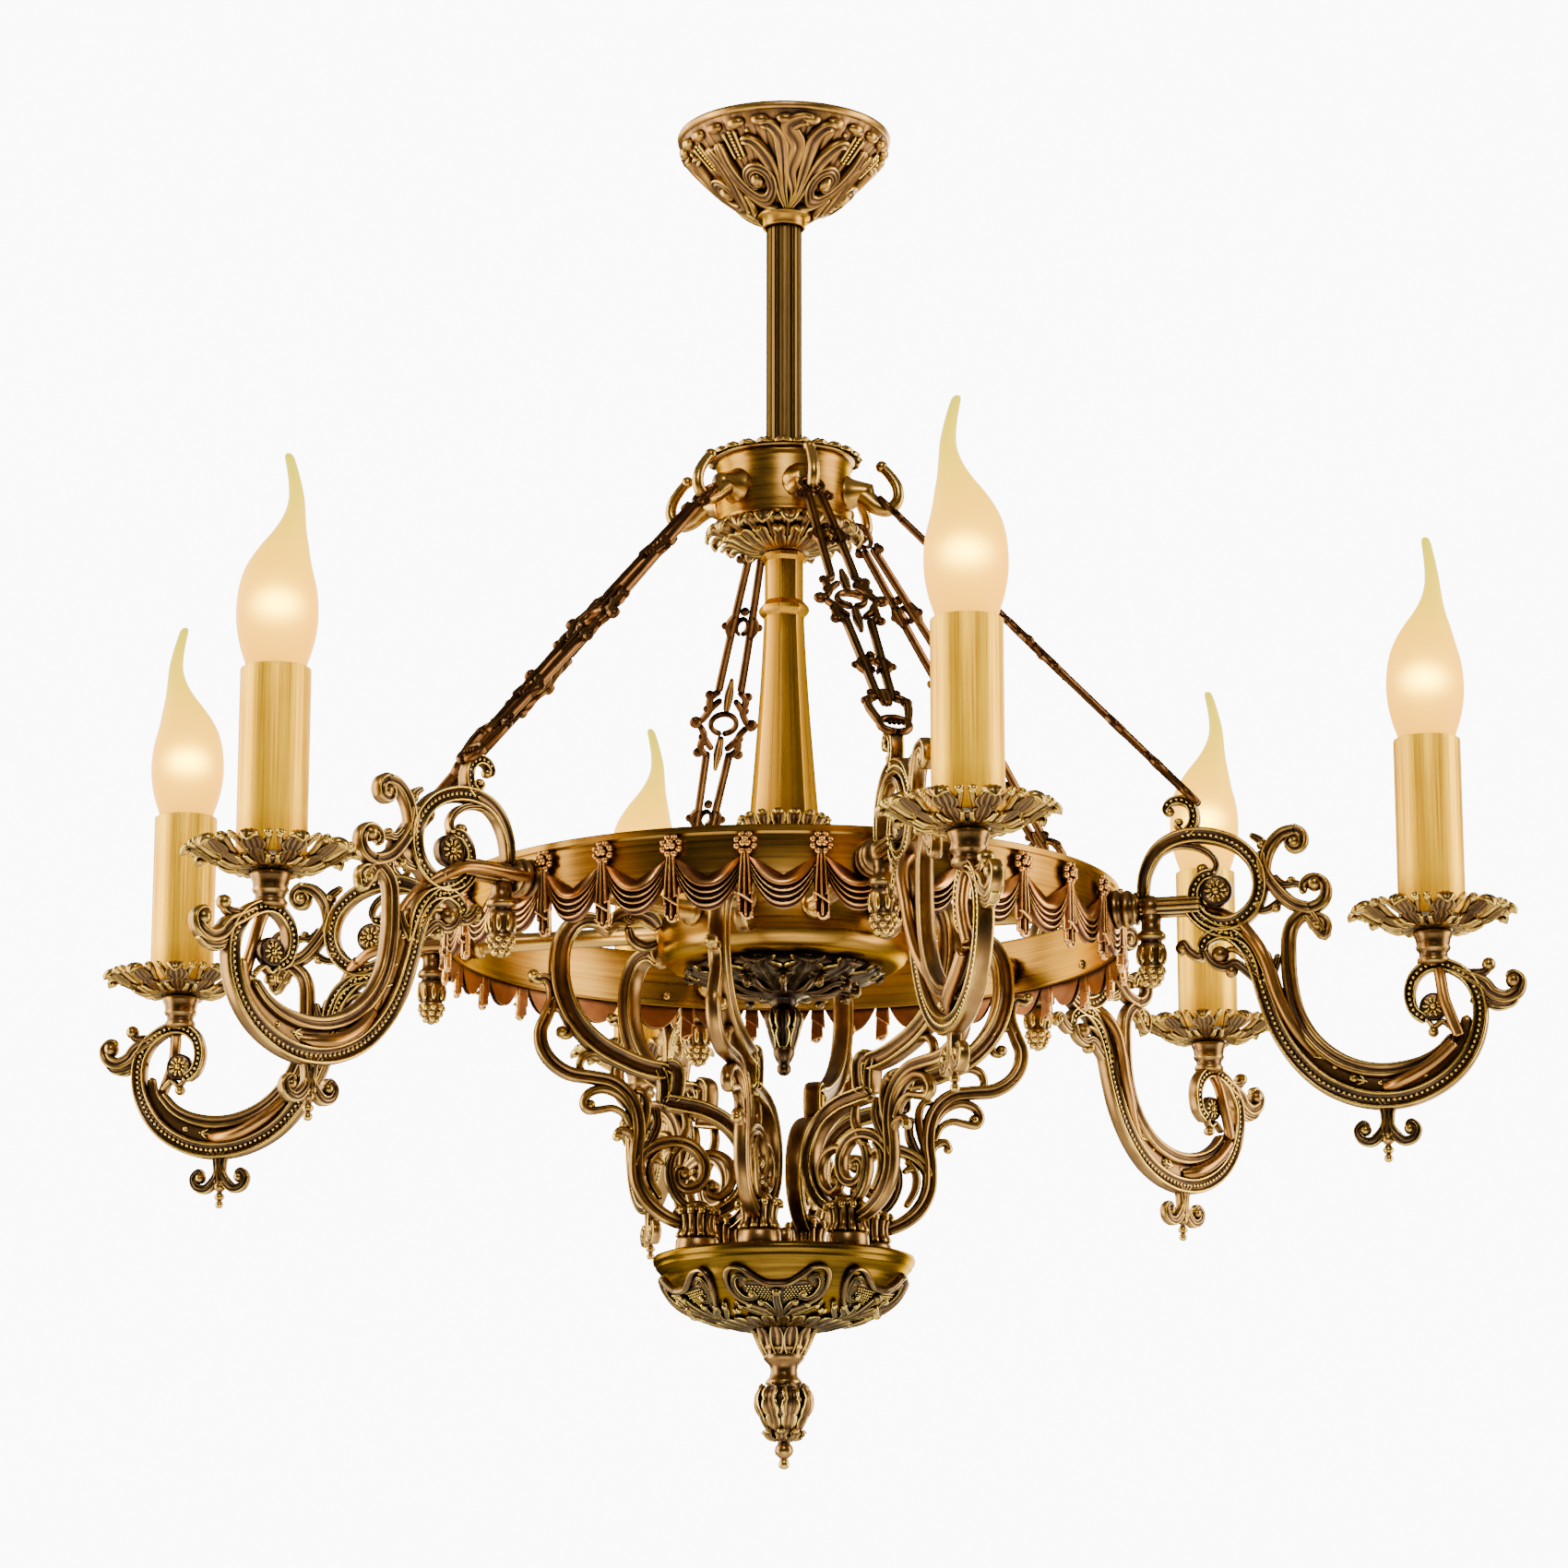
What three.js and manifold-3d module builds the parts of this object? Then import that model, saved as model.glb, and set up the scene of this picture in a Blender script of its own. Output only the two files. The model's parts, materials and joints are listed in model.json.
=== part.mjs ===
// Multi arm chandelier: a brass ring carries six scrolled candle arms, six chains tie the arms to a hub
// under the ceiling stem, and six brackets below the centre drum hold a bowl with a finial.
// Millimetres, +Z up. The origin is on the ceiling plane, on the stem axis. Arm 0 points along -Y.
import * as THREE from 'three';
import { mergeVertices } from 'three/addons/utils/BufferGeometryUtils.js';
import Module from 'manifold-3d';

const wasm = await Module();
wasm.setup();

// ---- Driving dimensions -------------------------------------------------------------------------
const ARMS = 6;
const GAP = 0.3;                    // air left between pieces that touch
const STEM_R = 8.5;
const STEM_BORE_R = 5.5;
const NIPPLE_R = 5;
const CANOPY_R = 50;
const CANOPY_Z = -38.5;             // bottom of the bell
const HUB_TOP_Z = -164;
const HUB_BOTTOM_Z = -208;
const HUB_R = 32;
const COLUMN_BOTTOM_Z = -377.7;
const RING_R = 155;
const RING_WALL = 1.6;
const RING_TOP_Z = -373;
const RING_BOTTOM_Z = -399;
const SWAGS = 30;
const SWAG_PITCH = 2 * Math.PI / SWAGS;
const SWAG_OFFSET = 3.6 * Math.PI / 180;   // first rosette, measured from arm 0
const DRUM_R = 58.3;
const DRUM_TOP_Z = -378;
const DRUM_BOTTOM_Z = -407;
const ARM_Z = -388;                 // height of the arm bosses and the spokes
const CANDLE_R = 300.6;             // radius of the circle of candles
const RAIL_THICK = 7;               // arm casting, side to side
const BRACKET_THICK = 8;
const CONDUIT_R = 3;
const SLEEVE_R = 15;
const SLEEVE_TOP_Z = -318;
const SLEEVE_BOTTOM_Z = -400;
const PAN_R = 35.5;
const BULB_R = 17.5;
const TAIL_START = 40;               // height above the sleeve where the tail starts to lean
const TAIL_BEND = 75;                // and where it bends back
const TAIL_LEAN = 7;
const BULB_LEAN = [166, 26, -14, -14, 166, -14];   // which way each bulb's tail leans, degrees from +X
const HOOK = [51.5, 0, -189.3];     // where a chain hangs on its hub hook
const CHAIN_END = [188.5, 0, -331]; // centre of the chain's lower ring
const BOWL_LIP_R = 59.5;
const BOWL_TOP_Z = -541;
const ROD_R = 3;                    // rod of the finial, which clamps the bowl

// ---- Materials ----------------------------------------------------------------------------------
const paint = (color, roughness, metalness) =>
  new THREE.MeshStandardMaterial({ color, roughness, metalness });
const antiqueBrass = paint(0x7a5a2c, 0.35, 1);
const brushedBrass = paint(0xa07a38, 0.38, 1);
const darkBronze = paint(0x4a2f1c, 0.4, 1);
const rosyCopper = paint(0xa06a4a, 0.35, 1);
const goldSleeve = paint(0xcfa850, 0.4, 1);
const conduitCopper = paint(0x8a6038, 0.35, 1);
const frostedGlass = paint(0xf2d9a8, 0.5, 0);
const zincSteel = paint(0xb8b8b4, 0.4, 1);
const whitePlastic = paint(0xe8e4da, 0.6, 0);

// ---- Solids -------------------------------------------------------------------------------------
function toSolid(geometry) {
  const bare = geometry.index ? geometry.toNonIndexed() : geometry.clone();
  bare.deleteAttribute('normal');
  bare.deleteAttribute('uv');
  const merged = mergeVertices(bare, 1e-4);
  return new wasm.Manifold(new wasm.Mesh({
    numProp: 3,
    vertProperties: new Float32Array(merged.attributes.position.array),
    triVerts: new Uint32Array(merged.index.array),
  }));
}

function toGeometry(solid) {
  const mesh = solid.getMesh();
  const geometry = new THREE.BufferGeometry();
  geometry.setAttribute('position', new THREE.BufferAttribute(mesh.vertProperties, 3));
  geometry.setIndex(new THREE.BufferAttribute(mesh.triVerts, 1));
  return geometry;
}

const join = (solids) => solids.reduce((sum, solid) => sum.add(solid));

// Joined plates share faces: one plain face replaces the slivers that the joins leave there.
const JOIN_TOLERANCE = 0.4;
const tidyFaces = (solid) => solid.asOriginal().simplify(JOIN_TOLERANCE);

// A turned piece: outline is [radius, height] pairs from the bottom axis point to the top one, or a
// closed loop when it has a bore.
function turned(outline, segments) {
  const points = outline.map(([r, z]) => new THREE.Vector2(r, z));
  return toSolid(new THREE.LatheGeometry(points, segments).rotateX(Math.PI / 2));
}

const closed = (outline) => [...outline, outline[0]];

function rod(radius, from, to, sides = 8) {
  const a = new THREE.Vector3(...from);
  const b = new THREE.Vector3(...to);
  const geometry = new THREE.CylinderGeometry(radius, radius, a.distanceTo(b), sides);
  const turn = new THREE.Quaternion().setFromUnitVectors(
    new THREE.Vector3(0, 1, 0), b.clone().sub(a).normalize());
  geometry.applyQuaternion(turn);
  geometry.translate(...a.add(b).multiplyScalar(0.5).toArray());
  return toSolid(geometry);
}

// A bar of a given section swept along a smooth curve through points.
function sweep(points, section, steps) {
  const path = new THREE.CatmullRomCurve3(points.map((p) => new THREE.Vector3(...p)));
  const shape = new THREE.Shape(section.map(([x, y]) => new THREE.Vector2(x, y)));
  return toSolid(new THREE.ExtrudeGeometry(shape, { steps, extrudePath: path }));
}

const rectangle = (width, height) => [
  [-width / 2, -height / 2], [width / 2, -height / 2], [width / 2, height / 2], [-width / 2, height / 2]];

const circle = (radius, sides) => Array.from({ length: sides }, (_, i) => {
  const angle = 2 * Math.PI * i / sides;
  return [radius * Math.cos(angle), radius * Math.sin(angle)];
});

// A flat scroll rail in the X-Z plane: width across the rail, thick along Y.
function rail(points, width, thick, steps = 2 * (points.length - 1)) {
  return sweep(points.map(([x, z]) => [x, 0, z]), rectangle(thick, width), steps);
}

function tube(points, radius, sides, steps) {
  return sweep(points, circle(radius, sides), steps);
}

// A flat cut-out plate: outline in X-Z, thick along Y, centred on Y = 0.
function plate(outline, thick, holes = []) {
  const shape = new THREE.Shape(outline.map(([x, z]) => new THREE.Vector2(x, z)));
  shape.holes = holes.map((hole) => new THREE.Path(hole.map(([x, z]) => new THREE.Vector2(x, z))));
  const geometry = new THREE.ExtrudeGeometry(shape, { depth: thick, bevelEnabled: false });
  return toSolid(geometry.translate(0, 0, -thick / 2).rotateX(Math.PI / 2));
}

const arc = (x, z, radius, from, to, count) => Array.from({ length: count }, (_, i) => {
  const angle = (from + (to - from) * i / (count - 1)) * Math.PI / 180;
  return [x + radius * Math.cos(angle), z + radius * Math.sin(angle)];
});

const turnSolid = (solid, radians) => solid.rotate([0, 0, radians * 180 / Math.PI]);

// ---- Ceiling fixing, canopy and stem ------------------------------------------------------------
function ceilingBracket() {
  const slot = (x) => arc(x, 0, 2.5, 0, 315, 8);
  const strap = new THREE.Shape([[-42, -10], [42, -10], [42, 10], [-42, 10]]
    .map(([x, y]) => new THREE.Vector2(x, y)));
  strap.holes = [-32, 32].map((x) => new THREE.Path(slot(x).map(([a, b]) => new THREE.Vector2(a, b))));
  const bar = toSolid(new THREE.ExtrudeGeometry(strap, { depth: 3, bevelEnabled: false })
    .translate(0, 0, -3));
  return join([bar, rod(NIPPLE_R, [0, 0, -2], [0, 0, -24], 16)]);
}

function canopy() {
  const outside = [[CANOPY_R, 0], [CANOPY_R, -3], [46.5, -10], [38, -20], [26, -31.5], [12.5, CANOPY_Z]];
  const inside = [[10, CANOPY_Z], [10, -36.9], [25.4, -29.5], [36.6, -18.7], [44.9, -9], [48.3, 0]];
  return turned(closed([...outside, ...inside].reverse()), 32);
}

function canopyCollar() {
  return turned(closed([[9.2, -38.8], [9.2, -46], [10, -46], [10.6, -41], [12.5, -40.6], [12.5, -38.8]]), 20);
}

function stemTube() {
  const flutes = 16;
  const section = Array.from({ length: 2 * flutes }, (_, i) => {
    const angle = Math.PI * i / flutes;
    const radius = i % 2 ? STEM_R - 0.9 : STEM_R;
    return new THREE.Vector2(radius * Math.cos(angle), radius * Math.sin(angle));
  });
  const shape = new THREE.Shape(section);
  shape.holes = [new THREE.Path(circle(STEM_BORE_R, 16).map(([x, y]) => new THREE.Vector2(x, y)))];
  const topZ = -3 - GAP;
  const bottomZ = HUB_TOP_Z + GAP;
  const geometry = new THREE.ExtrudeGeometry(shape, { depth: topZ - bottomZ, bevelEnabled: false });
  return toSolid(geometry.translate(0, 0, bottomZ));
}

// ---- Hub with six hooks -------------------------------------------------------------------------
function hub() {
  const drum = turned([
    [0, HUB_BOTTOM_Z], [12, HUB_BOTTOM_Z], [34, -199.5], [33, -196],
    [HUB_R, HUB_TOP_Z], [0, HUB_TOP_Z]], 20);
  const crown = turned(closed([[9, -161], [9, -165], [36, -165], [37, -161.5]]), 20);
  const hookLine = [[38, 0, -183.5], [44.5, 0, -188.4], [HOOK[0], 0, -190], [55.5, 0, -186], [55, 0, -178],
    [51, 0, -173], [47.5, 0, -169]];
  const hook = join([
    turned([[0, 28], [7.5, 28], [6.5, 34], [3.4, 41], [0, 41]], 8)
      .rotate([0, 90, 0]).translate([0, 0, -181]),
    tube(hookLine, 2.1, 5, 8)]);
  const hooks = Array.from({ length: ARMS }, (_, i) => turnSolid(hook, 2 * Math.PI * i / ARMS));
  return join([drum, crown, ...hooks]);
}

// ---- Octagonal column ---------------------------------------------------------------------------
function column() {
  const top = HUB_BOTTOM_Z - GAP;
  const shaft = turned([
    [0, -348], [17, -348], [16, -333], [9.5, -241], [11.5, -239], [11.5, -235], [9, -233], [9, -213],
    [10.5, -211], [10.5, top], [0, top]], 8);
  const base = turned([
    [0, COLUMN_BOTTOM_Z], [26, COLUMN_BOTTOM_Z], [26, -374], [14, -365], [14, -349], [19.5, -343],
    [17, -335], [0, -335]], 16);
  return join([shaft.rotate([0, 0, 22.5]), base]);
}

// ---- Ring and its swag strip --------------------------------------------------------------------
function ringBand() {
  const inner = RING_R - RING_WALL;
  return turned(closed([
    [inner, RING_BOTTOM_Z], [RING_R, RING_BOTTOM_Z], [RING_R, RING_TOP_Z], [inner, RING_TOP_Z]]), 60);
}

// One pitch of the strip: a rosette with its tassel, and half a swag on each side.
function swagTrim() {
  const half = (RING_R + GAP) * Math.tan(SWAG_PITCH / 2) + 0.3;
  const rightSide = [
    [half, -401], [10, -396.5], [5.4, -385], [4.6, -378.5], [0, -376.5]];
  const lowSide = [[2.4, -417], [3, -405], [half, -411]];
  const mirror = (points) => points.map(([x, z]) => [-x, z]);
  const outline = [
    ...lowSide, ...rightSide, ...mirror(rightSide.slice(0, -1)).reverse(), ...mirror(lowSide).reverse()];
  const depth = 2.2;
  const pitch = plate(outline, depth).translate([0, -(RING_R + GAP + depth / 2), 0]);
  const strip = join(Array.from({ length: SWAGS }, (_, i) => turnSolid(pitch, SWAG_OFFSET + i * SWAG_PITCH)));
  const hole = rod(9.4, [0, -150, ARM_Z], [0, -165, ARM_Z], 10);
  const holes = Array.from({ length: ARMS }, (_, i) => turnSolid(hole, 2 * Math.PI * i / ARMS));
  return strip.subtract(join(holes));
}

// ---- Centre drum with spokes, and the pendant under it ------------------------------------------
function centreDrum() {
  const wall = 1.6;
  const hole = 5;
  const shell = turned(closed([
    [hole, DRUM_TOP_Z], [hole, DRUM_TOP_Z - wall], [DRUM_R - wall, DRUM_TOP_Z - wall], [DRUM_R - wall, -400],
    [DRUM_R - 6, DRUM_BOTTOM_Z + wall], [hole, DRUM_BOTTOM_Z + wall], [hole, DRUM_BOTTOM_Z],
    [DRUM_R - 4.5, DRUM_BOTTOM_Z], [DRUM_R, -401.5], [DRUM_R, DRUM_TOP_Z]]), 32);
  const spoke = rod(4.25, [0, -(DRUM_R - 1), ARM_Z], [0, -(RING_R - RING_WALL - 0.6), ARM_Z], 8);
  const spokes = Array.from({ length: ARMS }, (_, i) => turnSolid(spoke, 2 * Math.PI * i / ARMS));
  return join([shell, ...spokes]);
}

function drumPendant() {
  return turned([
    [0, -457], [3.3, -454], [3, -450], [5.7, -445], [5, -437], [8, -429], [12, -421],
    [30, -415], [46, DRUM_BOTTOM_Z - 1.5], [46, DRUM_BOTTOM_Z - GAP], [0, DRUM_BOTTOM_Z - GAP]], 20);
}

// ---- Bowl and finial ----------------------------------------------------------------------------
function bowl() {
  const bore = ROD_R + 0.8;
  return turned(closed([
    [bore, BOWL_TOP_Z], [bore, BOWL_TOP_Z - 2], [53, BOWL_TOP_Z - 2], [50.5, -555], [44, -562],
    [12, -571], [bore, -571], [bore, -573], [15, -573], [38, -567], [46, -563],
    [52.5, -556], [55, -549], [BOWL_LIP_R, -547], [BOWL_LIP_R, BOWL_TOP_Z]]), 32);
}

function finial() {
  return turned([
    [0, -637.5], [2.5, -635], [4.2, -629], [3, -625], [7.8, -623], [7.5, -618],
    [12.7, -607], [8.5, -599], [6.2, -594], [9, -587], [10, -583],
    [13, -576], [13, -573 - GAP], [ROD_R, -573 - GAP], [ROD_R, -534], [3.7, -532], [3.2, -528], [0, -527]], 14);
}

// ---- Candle arm ---------------------------------------------------------------------------------
function armFrame() {
  const thick = RAIL_THICK;
  const boss = turned([[0, RING_R + 0.4], [8.7, RING_R + 0.4], [8.7, 166], [4.5, 167],
    [4.5, 196], [0, 196]], 6).rotate([0, 90, 0]).translate([0, 0, ARM_Z]);
  const drop = turned([[0, -425], [6.5, -410], [4.5, -392], [0, -388]], 6).translate([173, 0, 0]);
  const topLoop = rail([[169, -383], [171, -370], [178, -360], [190, -355.5], [203, -356.5], [215, -361.5],
    [222.5, -371], [224.5, -382], [220, -391], [211, -397], [202, -396], [194, -389], [193, -381], [198, -376]],
    7, thick, 13);
  const topRosette = rod(6.5, [203.5, 4, -382], [203.5, -4, -382], 6);
  const innerScroll = rail([[184, -359], [194, -361], [201, -365], [203, -379]], 3.2, 5, 3);
  const topCurl = rail([[188, -356], [193.5, -350], [193, -343], [187.5, -339], [182, -340.5], [181.5, -344]],
    4.6, 5.5, 5);
  const rightUpper = rail([[226, -376], [228.5, -365], [233, -358], [240, -356.5], [243.5, -361], [240, -364.5]],
    4.6, 6, 5);
  const rightLower = rail([[226, -370], [230, -380], [237, -389], [246, -391.5], [253, -386], [253, -378],
    [247.5, -377]], 4.8, 6, 6);
  const neckScroll = rail([[231, -379], [240, -381], [247, -381]], 3, 5, 1);
  const inner = rail([[252, -402], [247, -397], [240, -398.5], [237, -408], [236.5, -425], [240, -442],
    [248, -455], [259, -463], [274, -467], [290, -465.5], [302, -459], [309, -453]], 7, thick, 10);
  const outer = rail([[192, -389], [200, -398.5], [211, -404], [219, -415], [225, -434], [232, -452],
    [244, -468], [258, -477], [273, -480.8], [288, -480], [302, -474.5], [313, -465], [320, -451],
    [321, -436], [315, -425.5], [305, -420.8], [295.5, -423.5], [290, -431], [290.5, -441], [297, -446]],
    7.5, thick, 18);
  const elbow = rail([[236, -390], [238, -396], [237, -404]], 5, 6, 1);
  const webs = [[[238, -428], [226, -432]], [[247, -452], [235, -460]], [[263, -464], [256, -477]],
    [[284, -465], [287, -480]], [[303, -456], [313, -463]]].map((ends) => rail(ends, 6, 3, 1));
  const tail = rod(2.2, [299.5, 0, -452.5], [300, 0, -441], 5);
  const leaf = rail([[222, -420], [219, -409], [212, -403], [204, -403.5], [201, -409], [205, -412]], 5, 5, 4);
  const leafTips = rail([[189, -407], [199, -409], [211, -418]], 3, 4, 2);
  const tipLeaf = rail([[312, -425], [319, -428.5], [327, -434], [334, -436.5], [338.5, -432], [336, -427]],
    4.2, 5, 4);
  const tipCurl = rail([[314, -424], [325, -422.5]], 3, 4.5, 1);
  const pendantStem = rail([[278, -480], [278, -490], [278, -498]], 6, 5, 1);
  const pendantCurls = rail([[268, -491], [266, -495.5], [270, -499], [278, -493], [286, -499], [290.5, -495.5],
    [288.5, -491]], 3, 5, 6);
  const pendantBalls = turned([[0, -508.5], [2.5, -505], [0, -494]], 6).translate([278, 0, 0]);
  const neck = turned([[0, -421], [6.5, -420], [8.2, -405.5], [0, -405.5]], 8)
    .translate([CANDLE_R, 0, 0]);
  return join([boss, drop, topLoop, topRosette, innerScroll, topCurl, rightUpper, rightLower,
    neckScroll, inner, outer, elbow, ...webs, tail, leaf, leafTips, tipLeaf, tipCurl, pendantStem,
    pendantCurls, pendantBalls, neck]);
}

// The wiring tube lies against one face of the casting.
function conduit() {
  const y = -(RAIL_THICK / 2 + CONDUIT_R + GAP + 0.6);
  const line = [[200, -388], [209, -393], [218, -402], [227, -417], [233, -437], [244, -456], [260, -469],
    [276, -474.5], [291, -472], [304, -464], [309, -452], [306, -440], [303, -429]];
  return tube(line.map(([x, z]) => [x, y, z]), CONDUIT_R, 6, 12);
}

function candlePan() {
  const z0 = -405.2;
  return turned([[0, z0], [9, z0], [26, -399.5], [PAN_R, -396.5], [PAN_R, -394.5], [12, -401], [0, -401]], 16);
}

// Lampholder: a thimble inside the sleeve, open at the top for the bulb's cap.
function lampholder() {
  return turned([[0, -400.7], [12.5, -400.7], [12.5, -326], [10.2, -326], [10.2, -352], [0, -352]], 10);
}

function sleeve() {
  const inner = SLEEVE_R - 1.2;
  return turned(closed([[inner, SLEEVE_BOTTOM_Z + 0.8], [SLEEVE_R, SLEEVE_BOTTOM_Z + 0.8], [SLEEVE_R, SLEEVE_TOP_Z],
    [inner, SLEEVE_TOP_Z]]), 16);
}

// Flame bulb: cap inside the holder, glass above, with the tail bent along +X and back.
function bulb() {
  const cap = turned([[0, -349], [6, -348], [9, -344], [9, -325], [11.8, -318], [0, -318]], 10);
  const outline = [[0, 0], [12, 0], [16, 10], [BULB_R, 24], [16, 38], [10, 54], [5.4, 65], [3, 77], [0, 95.5]];
  const glass = turned(outline, 12).translate([0, 0, SLEEVE_TOP_Z]);
  const bent = glass.warp((v) => {
    const up = Math.max(0, v[2] - SLEEVE_TOP_Z - TAIL_START);
    const rise = TAIL_BEND - TAIL_START;
    const back = Math.max(0, up - rise) / 20;
    v[0] += TAIL_LEAN * Math.sin(Math.min(1, up / rise) * Math.PI / 2) ** 2 - 3.8 * back ** 1.5;
  });
  return join([cap, bent]);
}

// ---- Chain: one cast openwork link from the hub hook to the arm's top curl ----------------------
function chain() {
  const dx = CHAIN_END[0] - HOOK[0];
  const dz = CHAIN_END[2] - HOOK[2];
  const length = Math.hypot(dx, dz);
  const slope = Math.atan2(dz, dx) * 180 / Math.PI;
  const oval = (x, half, wide, count) => Array.from({ length: count }, (_, i) => {
    const angle = 2 * Math.PI * i / count;
    return [x + half * Math.cos(angle), wide * Math.sin(angle)];
  });
  const barThick = 3.4;
  const upper = [[4.5, -4.5], [95, -7.5], [95, 7.5], [4.5, 4.5]];
  const lower = [[108, -7.5], [length - 14, -4.5], [length - 14, 4.5], [108, 7.5]];
  const slots = [
    [[13, -1.6], [72, -4], [72, 4], [13, 1.6]], [[131, -4], [182, -1.8], [182, 1.8], [131, 4]]];
  const centre = [[84, -8], [94, -9], [98, -14.5], [106, -14.5], [110, -9], [120, -8], [128, 0], [120, 8],
    [110, 9], [106, 14.5], [98, 14.5], [94, 9], [84, 8], [76, 0]];
  const bead = (x) => [[x - 6, 0], [x, -8], [x + 6, 0], [x, 8]];
  const ring = (x, half, outer, inner) => plate(oval(x, half, outer, 8), 2.6, [oval(x, half - 2.2, inner, 8)]);
  const endPlate = [[length - 20, -6], [length - 12, -10], [length - 6, -6], [length - 6, 6], [length - 12, 10],
    [length - 20, 6]];
  const body = join([
    plate(upper, barThick), plate(lower, barThick), plate(centre, barThick), plate(bead(157), barThick),
    plate(endPlate, barThick)]);
  const cuts = join([
    ...slots.map((slot) => plate(slot, 8)), plate(oval(102, 4, 5, 8), 8)]);
  const link = join([body.subtract(cuts), ring(-1.2, 7.6, 6.6, 4.4), ring(length - 1.5, 8, 8, 5)]);
  return link.rotate([90, 0, 0]).rotate([0, -slope, 0]).translate(HOOK);
}

// ---- Bracket between the drum and the bowl ------------------------------------------------------
function bracket() {
  const thick = BRACKET_THICK;
  const leafTop = plate([[59.1, -398], [62, -384], [72, -381], [82, -386], [86, -393], [84, -399], [66, -399]], 9);
  const bar = rail([[80, -391], [91, -388], [100, -391], [105, -400], [106, -412], [102, -427], [94, -440],
    [82, -449], [68, -454.5], [56, -457]], 8, thick, 9);
  const step = plate([[61, -452], [49.5, -455.5], [49.5, -464], [45, -466], [45, -475], [57.5, -474], [57.5, -461],
    [61, -460]], thick);
  const low = rail([[52, -470], [40, -473], [29, -478], [20.5, -486], [16.5, -497], [18, -508], [24, -517],
    [32, -522], [38, -524]], 7, thick, 8);
  const foot = turned([[0, -540.7], [8.5, -540.7], [8.5, -534], [8.5, -526], [6, -518], [0, -518]], 6)
    .translate([41, 0, 0]);
  const outerScroll = rail([[117, -415.5], [111, -417.5], [110, -425], [113.5, -436], [114.5, -444], [109, -454.5],
    [99, -460.5], [86, -461.5], [76, -466], [70.5, -474], [68, -484], [69.5, -498], [68.5, -510], [62, -521],
    [52, -527], [44, -528]], 4.6, 5.5, 14);
  const innerCurl = rail([[111, -430], [103, -437], [101.5, -442], [105.5, -443]], 3.2, 5, 3);
  const curlA = rail([[70, -476], [76, -471], [84, -470], [91, -472], [93, -468], [89, -464]], 3.6, 5, 4);
  const curlB = rail([[69, -490], [73, -486.5], [78.5, -487.5]], 3.4, 5, 2);
  const hangerA = rail([[62, -474], [61, -484], [66, -494]], 3, 4.5, 2);
  const hangerB = rail([[48, -474], [47, -486], [50, -498]], 3, 4.5, 2);
  const spiral = rail([[69, -500], [60, -492.5], [49, -490.5], [39.5, -495], [37, -504], [42, -511], [50, -510],
    [51, -504], [46, -502]], 3.8, 5.5, 8);
  const spiralStem = rail([[47, -491], [52, -503], [49, -516], [42, -523]], 3.4, 5, 3);
  const smallScroll = rail([[38, -495], [29, -498], [25.5, -505], [29, -514], [35, -513.5], [34, -508.5]], 3.4, 5, 5);
  return join([leafTop, bar, step, low, foot, outerScroll, innerCurl, curlA, curlB, hangerA, hangerB, spiral,
    spiralStem, smallScroll]);
}

// ---- Assembly -----------------------------------------------------------------------------------
function piece(name, solid, material) {
  const mesh = new THREE.Mesh(toGeometry(tidyFaces(solid)), material);
  mesh.name = name;
  return mesh;
}

const chandelier = new THREE.Group();
chandelier.add(
  piece('ceiling_bracket', ceilingBracket(), zincSteel),
  piece('canopy', canopy(), antiqueBrass),
  piece('canopy_collar', canopyCollar(), brushedBrass),
  piece('stem_tube', stemTube(), brushedBrass),
  piece('hub_drum', hub().rotate([0, 0, -90]), brushedBrass),
  piece('column', column(), brushedBrass),
  piece('ring_band', ringBand(), brushedBrass),
  piece('swag_trim', swagTrim(), rosyCopper),
  piece('centre_drum', centreDrum(), brushedBrass),
  piece('drum_pendant', drumPendant(), antiqueBrass),
  piece('bowl', bowl(), antiqueBrass),
  piece('finial', finial(), antiqueBrass));

const armSolids = { frame: armFrame(), conduit: conduit(), chain: chain(), bracket: bracket() };
const candleSolids = { pan: candlePan(), lampholder: lampholder(), sleeve: sleeve() };
const bulbSolid = bulb();

for (let i = 0; i < ARMS; i += 1) {
  const number = i + 1;
  const arm = new THREE.Group();
  arm.rotation.z = 2 * Math.PI * i / ARMS - Math.PI / 2;
  arm.add(
    piece(`arm_frame_${number}`, armSolids.frame, antiqueBrass),
    piece(`conduit_${number}`, armSolids.conduit, conduitCopper),
    piece(`chain_${number}`, armSolids.chain, darkBronze));

  const candle = new THREE.Group();
  candle.position.x = CANDLE_R;
  const lamp = piece(`bulb_${number}`, bulbSolid, frostedGlass);
  lamp.rotation.z = BULB_LEAN[i] * Math.PI / 180 - arm.rotation.z;
  candle.add(
    piece(`candle_pan_${number}`, candleSolids.pan, antiqueBrass),
    piece(`lampholder_${number}`, candleSolids.lampholder, whitePlastic),
    piece(`sleeve_${number}`, candleSolids.sleeve, goldSleeve),
    lamp);
  arm.add(candle);
  chandelier.add(arm);

  const basket = new THREE.Group();
  basket.rotation.z = arm.rotation.z + Math.PI / ARMS;
  basket.add(piece(`bracket_${number}`, armSolids.bracket, antiqueBrass));
  chandelier.add(basket);
}

export default chandelier;
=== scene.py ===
"""Multi arm chandelier: detailed castings, sheet-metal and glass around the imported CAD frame.

Every shape is worked out in millimetres in the CAD frame (origin on the ceiling plane, +Z up) and
scaled to metres when its mesh is made. Pieces of an arm are built in the arm's own plane, with x
outwards, y along the tangent and z up, and then turned about the stem axis.
"""
import json
import math

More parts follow.
